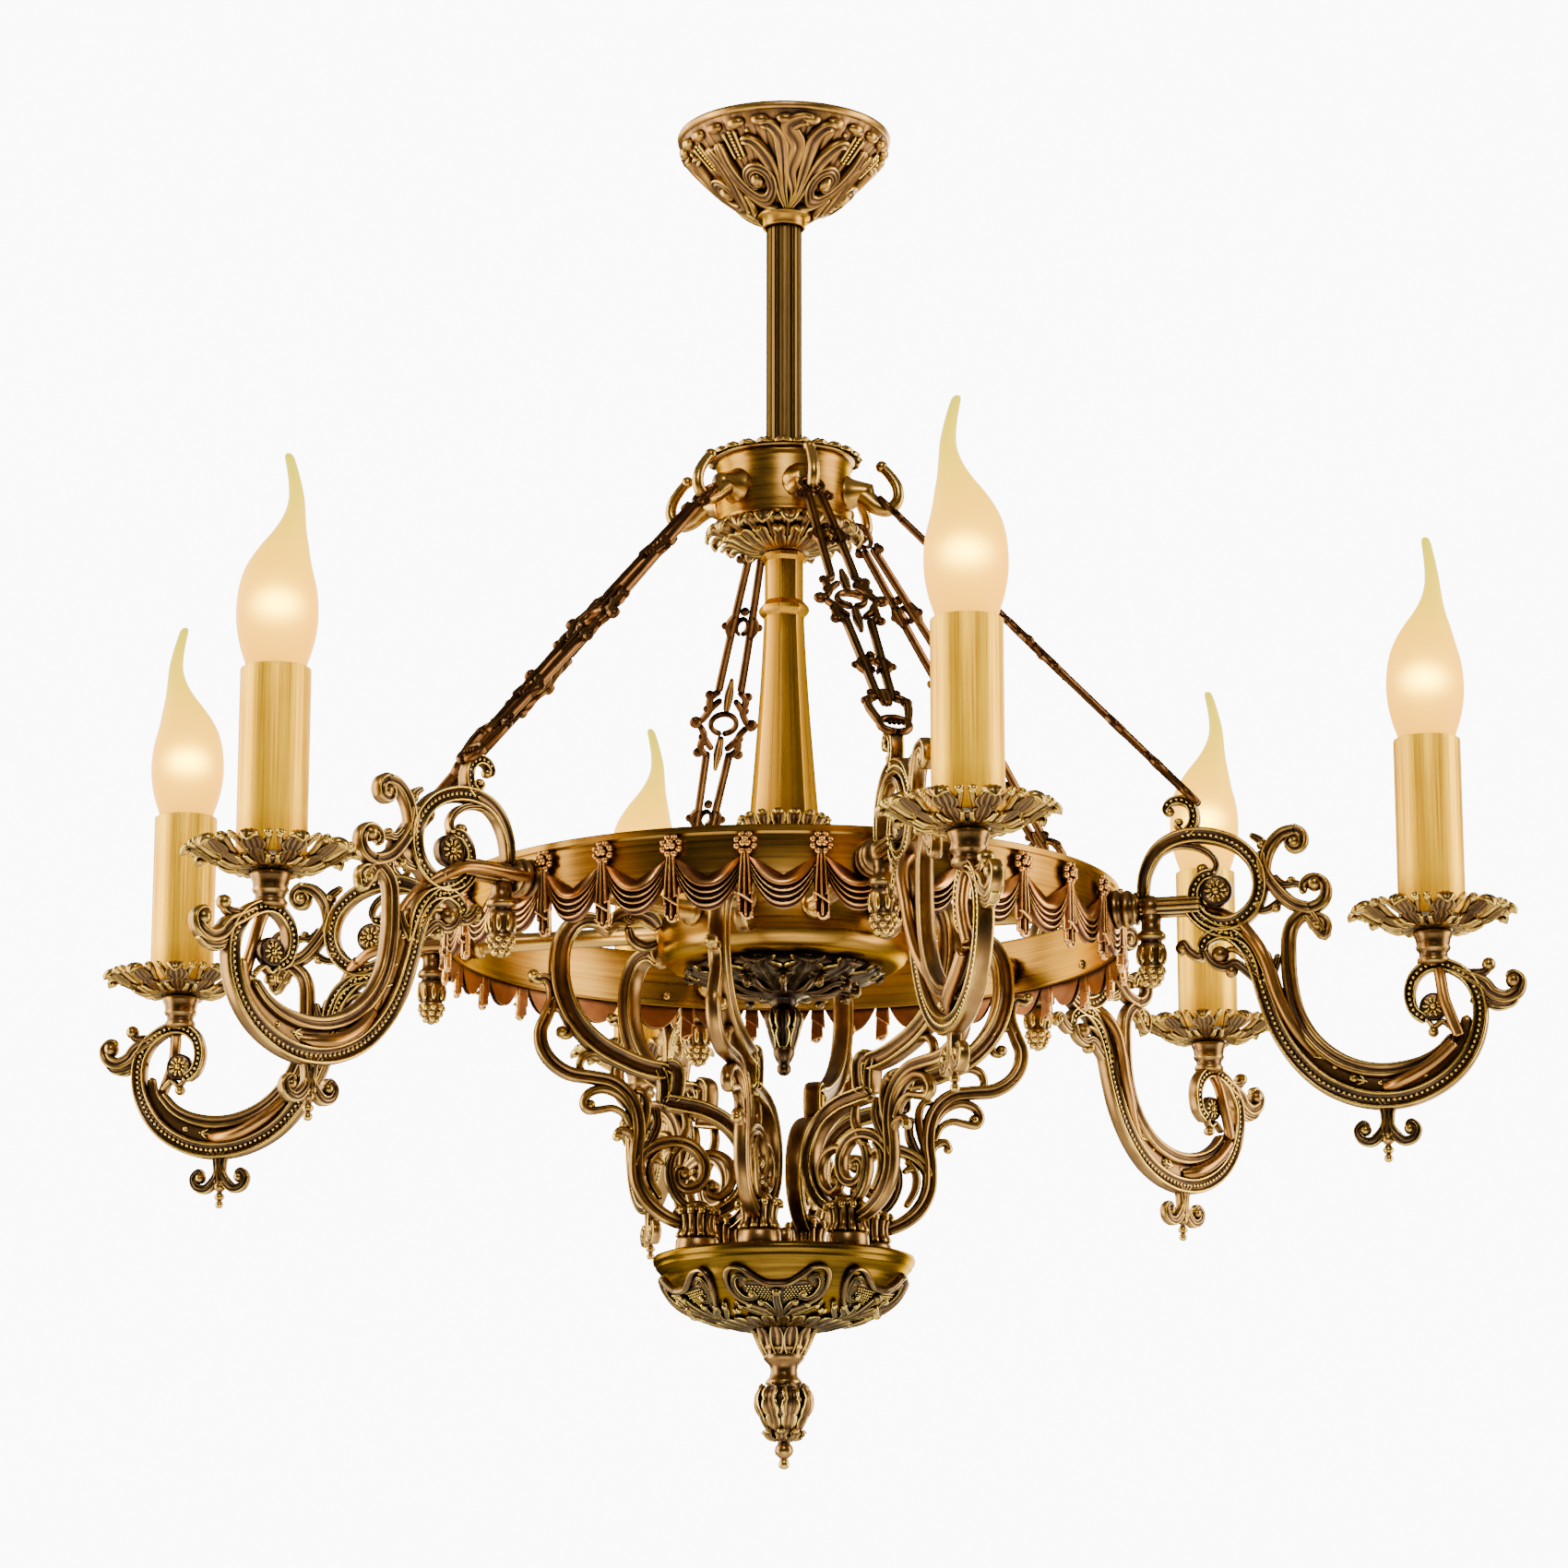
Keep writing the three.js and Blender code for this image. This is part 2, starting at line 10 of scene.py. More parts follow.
import bpy
import numpy as np
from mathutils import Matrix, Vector

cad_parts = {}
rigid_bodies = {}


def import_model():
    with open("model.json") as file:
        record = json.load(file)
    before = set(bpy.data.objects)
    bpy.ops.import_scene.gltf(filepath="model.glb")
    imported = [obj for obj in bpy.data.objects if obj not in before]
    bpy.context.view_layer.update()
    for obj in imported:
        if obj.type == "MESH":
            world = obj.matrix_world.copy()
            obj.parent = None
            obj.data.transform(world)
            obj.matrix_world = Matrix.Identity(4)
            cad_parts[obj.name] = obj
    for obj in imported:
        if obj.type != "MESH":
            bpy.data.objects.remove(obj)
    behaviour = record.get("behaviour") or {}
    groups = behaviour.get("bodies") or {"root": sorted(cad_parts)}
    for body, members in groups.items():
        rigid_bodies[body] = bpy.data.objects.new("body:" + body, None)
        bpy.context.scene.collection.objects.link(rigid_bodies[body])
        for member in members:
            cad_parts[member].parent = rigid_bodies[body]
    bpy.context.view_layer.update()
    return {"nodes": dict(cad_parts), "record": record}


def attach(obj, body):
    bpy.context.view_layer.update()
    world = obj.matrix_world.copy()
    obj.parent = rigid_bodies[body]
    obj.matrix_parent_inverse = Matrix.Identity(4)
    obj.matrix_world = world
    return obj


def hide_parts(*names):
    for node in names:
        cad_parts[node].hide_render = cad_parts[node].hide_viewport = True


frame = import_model()

MM = 0.001
TAU = 2 * math.pi
ARMS = 6
ARM_ANGLES = [-90 + 60 * i for i in range(ARMS)]
BRACKET_ANGLES = [angle + 30 for angle in ARM_ANGLES]
FRAME_BODY = frame["record"]["behaviour"]["joints"][0]["parent"]
SPOKE_Z = -388          # height of the arm axles and the drum's spokes
CANDLE_R = 300.6        # radius of the circle of candles
SLEEVE_TOP_Z = -318

# ---- Camera and lights ---------------------------------------------------------------------------
VIEW_AZIMUTH = math.radians(-14.3)
CAMERA_DISTANCE = 2.1334
CAMERA_HEIGHT = -0.810
CAMERA_PITCH = math.radians(12.95)
CAMERA_LENS = 107.6
SENSOR_WIDTH = 36


def make_camera():
    data = bpy.data.cameras.new("camera")
    data.lens = CAMERA_LENS
    data.sensor_width = SENSOR_WIDTH
    data.clip_end = 100
    camera = bpy.data.objects.new("camera", data)
    camera.location = (CAMERA_DISTANCE * math.sin(VIEW_AZIMUTH),
        -CAMERA_DISTANCE * math.cos(VIEW_AZIMUTH), CAMERA_HEIGHT)
    camera.rotation_euler = (math.pi / 2 + CAMERA_PITCH, 0, VIEW_AZIMUTH)
    bpy.context.scene.collection.objects.link(camera)
    bpy.context.scene.camera = camera


def area_light(name, place, aim, size, watts, colour=(1, 1, 1)):
    data = bpy.data.lights.new(name, "AREA")
    data.shape = "RECTANGLE"
    data.size, data.size_y = size
    data.energy = watts
    data.color = colour
    light = bpy.data.objects.new(name, data)
    light.location = place
    direction = np.array(aim) - np.array(place)
    light.rotation_euler = Vector(direction).to_track_quat("-Z", "Y").to_euler()
    light.visible_camera = False
    bpy.context.scene.collection.objects.link(light)
    return light


# ---- Mesh toolkit --------------------------------------------------------------------------------
def smooth_line(points, step=1.0):
    """A Catmull-Rom curve through the points, sampled about every step millimetres."""
    p = np.array(points, float)
    before = 2 * p[0] - p[1]
    after = 2 * p[-1] - p[-2]
    p = np.vstack([before, p, after])
    dense = []
    for a, b, c, d in zip(p[:-3], p[1:-2], p[2:-1], p[3:]):
        t = np.linspace(0, 1, 24, endpoint=False)[:, None]
        dense.append(0.5 * (2 * b + (c - a) * t + (2 * a - 5 * b + 4 * c - d) * t ** 2 + (3 * b - a - 3
            * c + d) * t ** 3))
    dense = np.vstack(dense + [p[-2][None]])
    return resample(dense, step)


def resample(line, step):
    along = travel(line)
    count = max(3, int(round(along[-1] / step)) + 1)
    at = np.linspace(0, along[-1], count)
    return np.stack([np.interp(at, along, line[:, k]) for k in range(line.shape[1])], 1)


def curl(centre, start_radius, start_angle, turns, end_radius=0.8, count=14):
    """Points of a volute: a spiral from start_radius in to end_radius, angles in degrees."""
    result = []
    for i in range(count):
        f = i / (count - 1)
        radius = start_radius + (end_radius - start_radius) * f ** 0.85
        angle = math.radians(start_angle + 360 * turns * f)
        result.append((centre[0] + radius * math.cos(angle), centre[1] + radius * math.sin(angle)))
    return result


def section(half):
    """A whole closed section from its upper half, given as (across, up) pairs from one side over."""
    half = np.array(half, float)
    low = half[::-1][1:-1] * (1, -1) if abs(half[0, 1]) < 1e-9 else half[::-1] * (1, -1)
    return np.vstack([half, low])


CHANNEL = section([(-.5, .0), (-.49, .3), (-.43, .46), (-.36, .5), (-.29, .44), (-.25, .33), (0, .3),
    (.25, .33), (.29, .44), (.36, .5), (.43, .46), (.49, .3), (.5, .0)])
RIDGED = section([(-.5, .0), (-.46, .3), (-.36, .42), (-.24, .34), (-.12, .36), (0, .5), (.12, .36),
    (.24, .34), (.36, .42), (.46, .3), (.5, .0)])
ROUND = section([(.5 * math.cos(a), .5 * math.sin(a)) for a in np.linspace(math.pi, 0, 9)])
GROOVED = section([(-.5, .0), (-.45, .34), (-.3, .5), (-.12, .42), (0, .26), (.12, .42), (.3, .5),
    (.45, .34), (.5, .0)])


def tube_quads(n, m):
    """Faces between n rings of m points each, open at the first and last ring."""
    i, j = np.meshgrid(np.arange(n - 1), np.arange(m), indexing="ij")
    k = (j + 1) % m
    return np.stack([i * m + j, i * m + k, (i + 1) * m + k, (i + 1) * m + j], -1).reshape(-1, 4)


def loop_quads(n, m):
    """Faces between n rings of m points each, with the last ring joined to the first."""
    i, j = np.meshgrid(np.arange(n), np.arange(m), indexing="ij")
    h, k = (i + 1) % n, (j + 1) % m
    return np.stack([i * m + j, i * m + k, h * m + k, h * m + j], -1).reshape(-1, 4)


def end_fans(n, m):
    """Triangles from the first and last of n rings to two end points that follow the rings."""
    j = np.arange(m)
    k = (j + 1) % m
    first = np.stack([k, j, np.full(m, n * m)], -1)
    last = np.stack([(n - 1) * m + j, (n - 1) * m + k, np.full(m, n * m + 1)], -1)
    return np.vstack([first, last])


def travel(line):
    """The distance along a line to each of its points."""
    return np.concatenate([[0], np.cumsum(np.linalg.norm(np.diff(line, axis=0), axis=1))])


def unit(rows):
    """Each row scaled to a length of one."""
    return rows / np.linalg.norm(rows, axis=1)[:, None]


class Casting:
    """Collects closed shells of quads and triangles that make up one mesh."""

    def __init__(self):
        self.points, self.quads, self.tris = [], [], []
        self.count = 0

    def add(self, points, quads, tris):
        """Adds a closed shell, with its faces turned outwards."""
        corners = np.vstack([quads[:, [0, 1, 2]], quads[:, [0, 2, 3]], tris])
        a, b, c = points[corners[:, 0]], points[corners[:, 1]], points[corners[:, 2]]
        middle = points.mean(0)
        if np.einsum("ij,ij->i", a - middle, np.cross(b - middle, c - middle)).sum() < 0:
            quads, tris = quads[:, ::-1], tris[:, ::-1]
        self.points.append(points)
        self.quads.append(quads + self.count)
        self.tris.append(tris + self.count)
        self.count += len(points)

    def add_casting(self, other, move=lambda points: points):
        points = move(np.vstack(other.points))
        self.points.append(points)
        self.quads.append(np.vstack(other.quads) + self.count)
        self.tris.append(np.vstack(other.tris) + self.count)
        self.count += len(points)

    def arrays(self):
        return np.vstack(self.points), np.vstack(self.quads), np.vstack(self.tris)

    def tube(self, rings):
        """Joins rings of the same count into a closed tube with fans at its ends."""
        rings = np.asarray(rings, float)
        n, m = rings.shape[:2]
        points = np.vstack([rings.reshape(-1, 3), rings[0].mean(0)[None], rings[-1].mean(0)[None]])
        self.add(points, tube_quads(n, m), end_fans(n, m))

    def stroke(self, points, width, thick, shape=ROUND, step=1.0, y=0.0, round_ends=True):
        """A scroll rail in the x-z plane. width and thick may be (start, middle, end) values."""
        line = smooth_line(points, step)
        along = travel(line)
        length = along[-1]
        f = along / length
        widths, thicks = spread(width, f), spread(thick, f)
        tangent = unit(np.gradient(line, axis=0))
        across = np.stack([-tangent[:, 1], tangent[:, 0]], 1)
        if round_ends:
            near = np.minimum(along, length - along)
            reach = np.maximum(widths / 2, 0.3)
            scale = np.sqrt(np.clip(1 - (1 - np.minimum(near / reach, 1)) ** 2, 0.02, 1))
        else:
            scale = np.ones(len(f))
        u = shape[None, :, 0] * (widths * scale)[:, None]
        v = shape[None, :, 1] * (thicks * scale)[:, None]
        rings = np.stack([line[:, None, 0] + across[:, None, 0] * u, v + y, line[:, None, 1] + across[:,
            None, 1] * u], -1)
        self.tube(rings)
        return line

    def cord(self, points, radius, sides=12, step=1.5):
        """A round bar along a curve in space; radius may be (start, middle, end)."""
        line = smooth_line(points, step)
        f = np.linspace(0, 1, len(line))
        radii = spread(radius, f)
        tangent = unit(np.gradient(line, axis=0))
        side = np.cross(tangent, (0.0, 1.0, 0.0))
        small = np.linalg.norm(side, axis=1) < 0.05
        side[small] = np.cross(tangent[small], (1.0, 0.0, 0.0))
        side = unit(side)
        up = np.cross(side, tangent)
        a = np.arange(sides) * TAU / sides
        rings = (line[:, None] + radii[:, None, None] * (np.cos(a)[None, :, None] * side[:,
            None] + np.sin(a)[None, :, None] * up[:, None]))
        self.tube(rings)

    def ball(self, centre, radius, squash=(1, 1, 1), sides=12, rows=7):
        """A round knob, squashed along the axes."""
        a = np.arange(sides) * TAU / sides
        b = np.linspace(-math.pi / 2, math.pi / 2, rows + 2)[1:-1]
        rings = np.stack([np.outer(np.cos(b), np.cos(a)), np.outer(np.cos(b), np.sin(a)),
            np.outer(np.sin(b), np.ones(sides))], -1)
        rings = rings * radius * np.array(squash) + np.array(centre)
        n, m = rings.shape[:2]
        poles = np.array([(0, 0, -1), (0, 0, 1)]) * radius * np.array(squash) + np.array(centre)
        points = np.vstack([rings.reshape(-1, 3), poles])
        self.add(points, tube_quads(n, m), end_fans(n, m))

    def knob(self, x, z, radius, bulge=1.2, sides=12, rows=7):
        """A knob on the middle plane of a flat casting, bulging on both faces."""
        self.ball((x, 0, z), radius, (1, bulge, 1), sides, rows)

    def beads(self, line, spacing, radius, y):
        """A row of beads along a line of the x-z plane, on both faces of a casting."""
        along = travel(line)
        count = max(1, int(along[-1] / spacing))
        for at in np.linspace(0, along[-1], count):
            x, z = np.interp(at, along, line[:, 0]), np.interp(at, along, line[:, 1])
            for face in (-1, 1):
                self.ball((x, face * y, z), radius, sides=8, rows=4)

    def disc(self, centre, radius, half_thick, rim=.5):
        """A flat disc facing along y, with a raised rim on both faces."""
        outline = [(0, -half_thick), (radius - 1.5, -half_thick), (radius - 1.1, -half_thick - rim),
            (radius - .5, -half_thick - rim), (radius, -half_thick * .5), (radius, half_thick * .5),
            (radius - .5, half_thick + rim), (radius - 1.1, half_thick + rim), (radius - 1.5,
            half_thick), (0, half_thick)]
        disc = Casting()
        disc.turned(outline, 36)
        self.add_casting(disc, lambda p: np.stack([p[:, 0] + centre[0], p[:, 2], p[:, 1] + centre[1]],
            1))

    def rosette(self, centre, radius, petals=8, depth=1.0, half_thick=2.0):
        """A disc with a raised rim and a small flower on both of its faces."""
        self.disc(centre, radius, half_thick)
        for face in (-1, 1):
            for i in range(petals):
                a = TAU * i / petals
                place = (centre[0] + .50 * radius * math.cos(a), face * half_thick,
                    centre[1] + .50 * radius * math.sin(a))
                self.petal(place, a, radius * .27, radius * 2.3 / petals, depth, face)
            self.ball((centre[0], face * (half_thick + depth * .4), centre[1]), radius * .24,
                (1, .8, 1), 10, 5)

    def petal(self, place, angle, half_long, half_wide, depth, face):
        a = np.arange(10) * TAU / 10
        b = np.linspace(-math.pi / 2, math.pi / 2, 7)[1:-1]
        long, wide = (half_long * np.outer(np.cos(b), np.cos(a)), half_wide / 2 * np.outer(np.cos(b),
            np.sin(a)))
        up = depth * np.outer(np.sin(b), np.ones(10))
        rings = np.stack([place[0] + long * math.cos(angle) - wide * math.sin(angle), place[1] + up,
            place[2] + long * math.sin(angle) + wide * math.cos(angle)], -1)
        self.tube(rings)

    def turned(self, outline, sides=96, wave=None, rows=None):
        """A lathe shell about the z axis. wave(angle, row fraction) moves the surface outwards."""
        outline = np.array(outline, float)
        if rows:
            outline = resample(outline, path_length(outline) / rows)
        a = np.arange(sides) * TAU / sides
        radius = np.repeat(outline[:, :1], sides, 1)
        height = np.repeat(outline[:, 1:], sides, 1)
        if wave is not None:
            slope = unit(np.gradient(outline, axis=0))
            f = np.linspace(0, 1, len(outline))
            lift = wave(a[None, :], f[:, None])
            radius = radius + lift * slope[:, 1:]
            height = height - lift * slope[:, :1]
        rings = np.stack([radius * np.cos(a), radius * np.sin(a), height], -1)
        self.tube(rings)

    def ring(self, outline, sides=96):
        """A closed outline turned about the z axis, with an open bore."""
        outline = np.array(outline, float)
        a = np.arange(sides) * TAU / sides
        rings = np.stack([outline[:, :1] * np.cos(a), outline[:, :1] * np.sin(a),
            np.repeat(outline[:, 1:], sides, 1)], -1)
        self.loop(rings)

    def loop(self, rings):
        """Joins rings into a closed shell with a bore, its faces outwards."""
        n, m = rings.shape[:2]
        points, quads = rings.reshape(-1, 3), loop_quads(n, m)
        if signed_volume(points, quads) < 0:
            quads = quads[:, ::-1]
        self.points.append(points)
        self.quads.append(quads + self.count)
        self.tris.append(np.zeros((0, 3), int))
        self.count += len(points)

    def sheet(self, front, back):
        """A closed shell between two grids of points, front and back, of the same shape."""
        self.tube(np.concatenate([front, back[:, ::-1]], 1))

    def leaf(self, spine, half_width, thick=0.8, lobes=4, lobe_depth=.3, ribs=3, cup=.25, rows=26,
            cols=13, side=(0.0, 1.0, 0.0), tip=.08):
        """An acanthus leaf along a spine in space: lobed outline, raised ribs and a cupped section."""
        line = smooth_line(spine, 1.0)
        line = resample(line, path_length(line) / rows)
        f = np.linspace(0, 1, len(line))
        tangent = unit(np.gradient(line, axis=0))
        side = np.array(side, float)[None] - tangent * (tangent @ np.array(side, float))[:, None]
        side = unit(side)
        up = np.cross(side, tangent)
        outline = np.sin(math.pi * (.14 + .66 * f)) ** .7 * np.sqrt(np.clip(1
            - ((f - .88) / .12).clip(0, 1) ** 2, 0, 1))
        notch = 1 - lobe_depth * (1 - np.abs(np.sin(math.pi * lobes * f)) ** .6)
        width = half_width * np.maximum(outline * notch, tip)
        t = np.linspace(-1, 1, cols)
        across = width[:, None] * t[None]
        height = (cup * width[:, None] * (t[None] ** 2) + .35 * thick * np.cos(math.pi * ribs * t)[None]
            * np.sin(math.pi * np.clip(f, .05, 1))[:, None])
        top = line[:, None] + side[:, None] * across[..., None] + up[:, None] * height[..., None]
        body = np.sqrt(np.clip(1 - t ** 4, 0, 1)) * thick + 0.12
        low = top - up[:, None] * body[None, :, None]
        rings = np.concatenate([top, low[:, ::-1]], 1)
        self.tube(rings)


def path_length(line):
    return float(np.linalg.norm(np.diff(line, axis=0), axis=1).sum())


def leaf_row(target, count, start, spine, half_width, thick, **form):
    """Equal leaves about the stem axis; the spine is (radius, height) pairs, start is in degrees."""
    leaf = Casting()
    leaf.leaf([(r, 0, z) for r, z in spine], half_width, thick, **form)
    for i in range(count):
        target.add_casting(leaf, turn(360 / count * i + start))


def lie_outwards(points):
    """Lays a shape turned about z down along x, at the height of the spokes and arm axles."""
    return np.stack([points[:, 2], points[:, 0], points[:, 1] + SPOKE_Z], 1)


def spread(value, f):
    """A number, or (start, middle, end) numbers, spread along fractions f."""
    if np.isscalar(value):
        return np.full(len(f), float(value))
    return np.interp(f, np.linspace(0, 1, len(value)), value)


def signed_volume(points, quads):
    corners = np.vstack([quads[:, [0, 1, 2]], quads[:, [0, 2, 3]]])
    a, b, c = points[corners[:, 0]], points[corners[:, 1]], points[corners[:, 2]]
    return np.einsum("ij,ij->i", a, np.cross(b, c)).sum()


def turn(angle):
    """A move that turns points about the stem axis by an angle in degrees."""
    c, s = math.cos(math.radians(angle)), math.sin(math.radians(angle))
    matrix = np.array([(c, -s, 0), (s, c, 0), (0, 0, 1)])
    return lambda points: points @ matrix.T


def shift(x=0.0, y=0.0, z=0.0):
    return lambda points: points + np.array((x, y, z), float)


def wrap(radius):
    """Wraps a flat strip (x along it, y outwards, z up) round a cylinder."""
    def move(points):
        angle = points[:, 0] / radius - math.pi / 2
        r = radius - points[:, 1]
        return np.stack([r * np.cos(angle), r * np.sin(angle), points[:, 2]], 1)
    return move


def wear_of(mesh):
    """How convex the surface is at each vertex, from 0 in a hollow to 1 on an edge."""
    n = len(mesh.vertices)
    place = np.empty(n * 3, np.float32)
    mesh.vertices.foreach_get("co", place)
    normal = np.empty(n * 3, np.float32)
    mesh.vertex_normals.foreach_get("vector", normal)
    edges = np.empty(len(mesh.edges) * 2, np.int32)
    mesh.edges.foreach_get("vertices", edges)
    place, normal, edges = place.reshape(-1, 3) / MM, normal.reshape(-1, 3), edges.reshape(-1, 2)
    a, b = edges[:, 0], edges[:, 1]
    step = place[b] - place[a]
    square = np.maximum((step ** 2).sum(1), .04)
    total = np.maximum(np.bincount(a, minlength=n) + np.bincount(b, minlength=n), 1)
    bend = (np.bincount(a, -(normal[a] * step).sum(1) / square, n) + np.bincount(b,
        (normal[b] * step).sum(1) / square, n)) / total
    near = (np.bincount(a, bend[b], n) + np.bincount(b, bend[a], n)) / total
    bend = .55 * bend + .45 * near
    return np.clip(.5 + .9 * bend, 0, 1)


def make_piece(name, casting, material, body, replaces=(), move=None, flat_angle=None):
    """Makes one named piece from a casting, riding on a body and standing for CAD nodes."""
    points, quads, tris = casting.arrays()
    if move is not None:
        points = move(points)
    mesh = bpy.data.meshes.new(name)
    corners = np.concatenate([quads.ravel(), tris.ravel()]).astype(np.int32)
    starts = np.concatenate([np.arange(len(quads)) * 4, len(quads) * 4 + np.arange(len(tris)) * 3])
    mesh.vertices.add(len(points))
    mesh.vertices.foreach_set("co", (points * MM).astype(np.float32).ravel())
    mesh.loops.add(len(corners))
    mesh.loops.foreach_set("vertex_index", corners)
    mesh.polygons.add(len(starts))
    mesh.polygons.foreach_set("loop_start", starts.astype(np.int32))
    mesh.update(calc_edges=True)
    mesh.validate()
    mesh.shade_smooth()
    if flat_angle is not None:
        mesh.set_sharp_from_angle(angle=math.radians(flat_angle))
    wear = mesh.attributes.new("wear", "FLOAT", "POINT")
    wear.data.foreach_set("value", wear_of(mesh).astype(np.float32))
    mesh.materials.append(material)
    piece = bpy.data.objects.new(name, mesh)
    bpy.context.scene.collection.objects.link(piece)
    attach(piece, body)
    for node in replaces:
        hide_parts(node)
    return piece


# ---- Materials -----------------------------------------------------------------------------------
class Nodes:
    """Builds a node material step by step; each call returns the socket to use next."""

    def __init__(self, name):
        self.material = bpy.data.materials.new(name)
        self.material.use_nodes = True
        self.tree = self.material.node_tree
        self.shader = self.tree.nodes["Principled BSDF"]
        self.coordinates = self.tree.nodes.new("ShaderNodeTexCoord").outputs["Object"]

    def node(self, kind, **values):
        made = self.tree.nodes.new(kind)
        for key, value in values.items():
            setattr(made, key, value)
        return made

    def link(self, value, socket):
        if hasattr(value, "is_linked"):
            self.tree.links.new(value, socket)
        else:
            socket.default_value = value

    def math(self, operation, a, b=0.0, clamp=False):
        made = self.node("ShaderNodeMath", operation=operation, use_clamp=clamp)
        self.link(a, made.inputs[0])
        self.link(b, made.inputs[1])
        return made.outputs[0]

    def attribute(self, name):
        return self.node("ShaderNodeAttribute", attribute_name=name).outputs["Fac"]

    # Ambient occlusion: mixed into a colour, it paints shade into recesses and between parts.
    def occlusion(self, distance):
        made = self.node("ShaderNodeAmbientOcclusion", samples=6)
        made.inputs["Distance"].default_value = distance
        return made.outputs["AO"]

    def noise(self, scale, detail=3.0, roughness=.55, vector=None):
        made = self.node("ShaderNodeTexNoise")
        self.tree.links.new(vector or self.coordinates, made.inputs["Vector"])
        made.inputs["Scale"].default_value = scale
        made.inputs["Detail"].default_value = detail
        made.inputs["Roughness"].default_value = roughness
        return made.outputs["Fac"]

    def brushed(self, around=False, fine=900.0, streak=.006):
        """Long scratches along z or around the z axis; streak is how fast they change on their way."""
        split = self.node("ShaderNodeSeparateXYZ")
        self.tree.links.new(self.coordinates, split.inputs[0])
        angle = self.math("ARCTAN2", split.outputs[1], split.outputs[0])
        combine = self.node("ShaderNodeCombineXYZ")
        if around:
            self.link(self.math("MULTIPLY", angle, streak), combine.inputs[0])
            self.link(split.outputs[2], combine.inputs[1])
        else:
            self.link(self.math("MULTIPLY", angle, .02), combine.inputs[0])
            self.link(self.math("MULTIPLY", split.outputs[2], streak), combine.inputs[1])
        return self.noise(fine, 3.0, .6, combine.outputs[0])

    def ramp(self, value, stops):
        made = self.node("ShaderNodeValToRGB")
        ramp = made.color_ramp
        while len(ramp.elements) < len(stops):
            ramp.elements.new(0.5)
        for element, (place, colour) in zip(ramp.elements, stops):
            element.position = place
            element.color = (*colour, 1)
        self.link(value, made.inputs[0])
        return made.outputs[0]

    def mix(self, factor, a, b):
        made = self.node("ShaderNodeMix", data_type="RGBA")
        self.link(factor, made.inputs["Factor"])
        self.link((*a, 1) if isinstance(a, tuple) else a, made.inputs["A"])
        self.link((*b, 1) if isinstance(b, tuple) else b, made.inputs["B"])
        return made.outputs["Result"]

    def bump(self, height, strength, distance):
        made = self.node("ShaderNodeBump")
        made.inputs["Strength"].default_value = strength
        made.inputs["Distance"].default_value = distance
        self.link(height, made.inputs["Height"])
        self.tree.links.new(made.outputs[0], self.shader.inputs["Normal"])

    def set(self, **values):
        for key, value in values.items():
            self.link((*value, 1) if isinstance(value, tuple) else value,
                self.shader.inputs[key.replace("_", " ")])
        return self.material


def patina(name, hollow, middle, edge, rough=(.42, .27), reach=.0026, low=.36, high=.84, coat=.25):
    """Cast brass: a dark lacquered patina in the hollows, rubbed bright on the edges, with painted
    shade from ambient occlusion within reach metres darkening recesses and gaps between parts.
    """
    m = Nodes(name)
    wear = m.attribute("wear")
    cloud = m.noise(90, 4)
    # Painted shade: ambient occlusion darkens the colour in recesses and where parts crowd together.
    painted_shade_ao = m.math("POWER", m.occlusion(reach), 1.3)
    lift = m.math("ADD", wear, m.math("MULTIPLY", m.math("SUBTRACT", cloud, .5), .3))
    level = m.math("MULTIPLY", lift, m.math("ADD", m.math("MULTIPLY", painted_shade_ao, .66), .34), clamp=True)
    colour = m.ramp(level, [(low, hollow), ((low + high) / 2, middle), (high, edge)])
    m.bump(m.noise(700, 3), .10, .0004)
    roughness = m.math("ADD", rough[0], m.math("MULTIPLY", level, rough[1] - rough[0]))
    return m.set(Base_Color=colour, Roughness=roughness, Metallic=1.0, Specular_Tint=(1, .86, .62),
        Coat_Weight=coat, Coat_Roughness=.3)


def brushed_metal(name, dark, light, around=False, fine=900.0, streak=.006, rough=.34, bump=.25,
        span=(.34, .62), metal=1.0):
    """Sheet or tube with long brush lines under a browned lacquer, darkened near other parts by painted
    shade from ambient occlusion.
    """
    m = Nodes(name)
    lines = m.brushed(around, fine, streak)
    cloud = m.noise(14, 3)
    # Painted shade: ambient occlusion over two centimetres darkens the colour near other parts.
    painted_shade_ao = m.occlusion(.02)
    level = m.math("MULTIPLY", m.math("ADD", m.math("MULTIPLY", lines, .75), m.math("MULTIPLY", cloud,
        .25)), m.math("ADD", m.math("MULTIPLY", painted_shade_ao, .5), .5), clamp=True)
    colour = m.ramp(level, [(span[0], dark), (span[1], light)])
    m.bump(lines, bump, .0002)
    roughness = m.math("ADD", rough, m.math("MULTIPLY", m.math("SUBTRACT", lines, .5), .2))
    return m.set(Base_Color=colour, Roughness=roughness, Metallic=metal, Specular_Tint=(1, .72, .30))


def satin(name, colour, shade_and_mottle, rough):
    m = Nodes(name)
    cloud = m.noise(35, 4)
    # Painted shade: ambient occlusion, with a random cloud, mixes in the darker colour in recesses and
    # between parts.
    tone = m.mix(m.math("MULTIPLY", m.occlusion(.006), m.math("ADD", cloud, .35), clamp=True), shade_and_mottle,
        colour)
    m.bump(m.noise(500, 2), .08, .0003)
    roughness = m.math("ADD", rough, m.math("MULTIPLY", m.math("SUBTRACT", cloud, .5), .2))
    return m.set(Base_Color=tone, Roughness=roughness, Metallic=1.0)


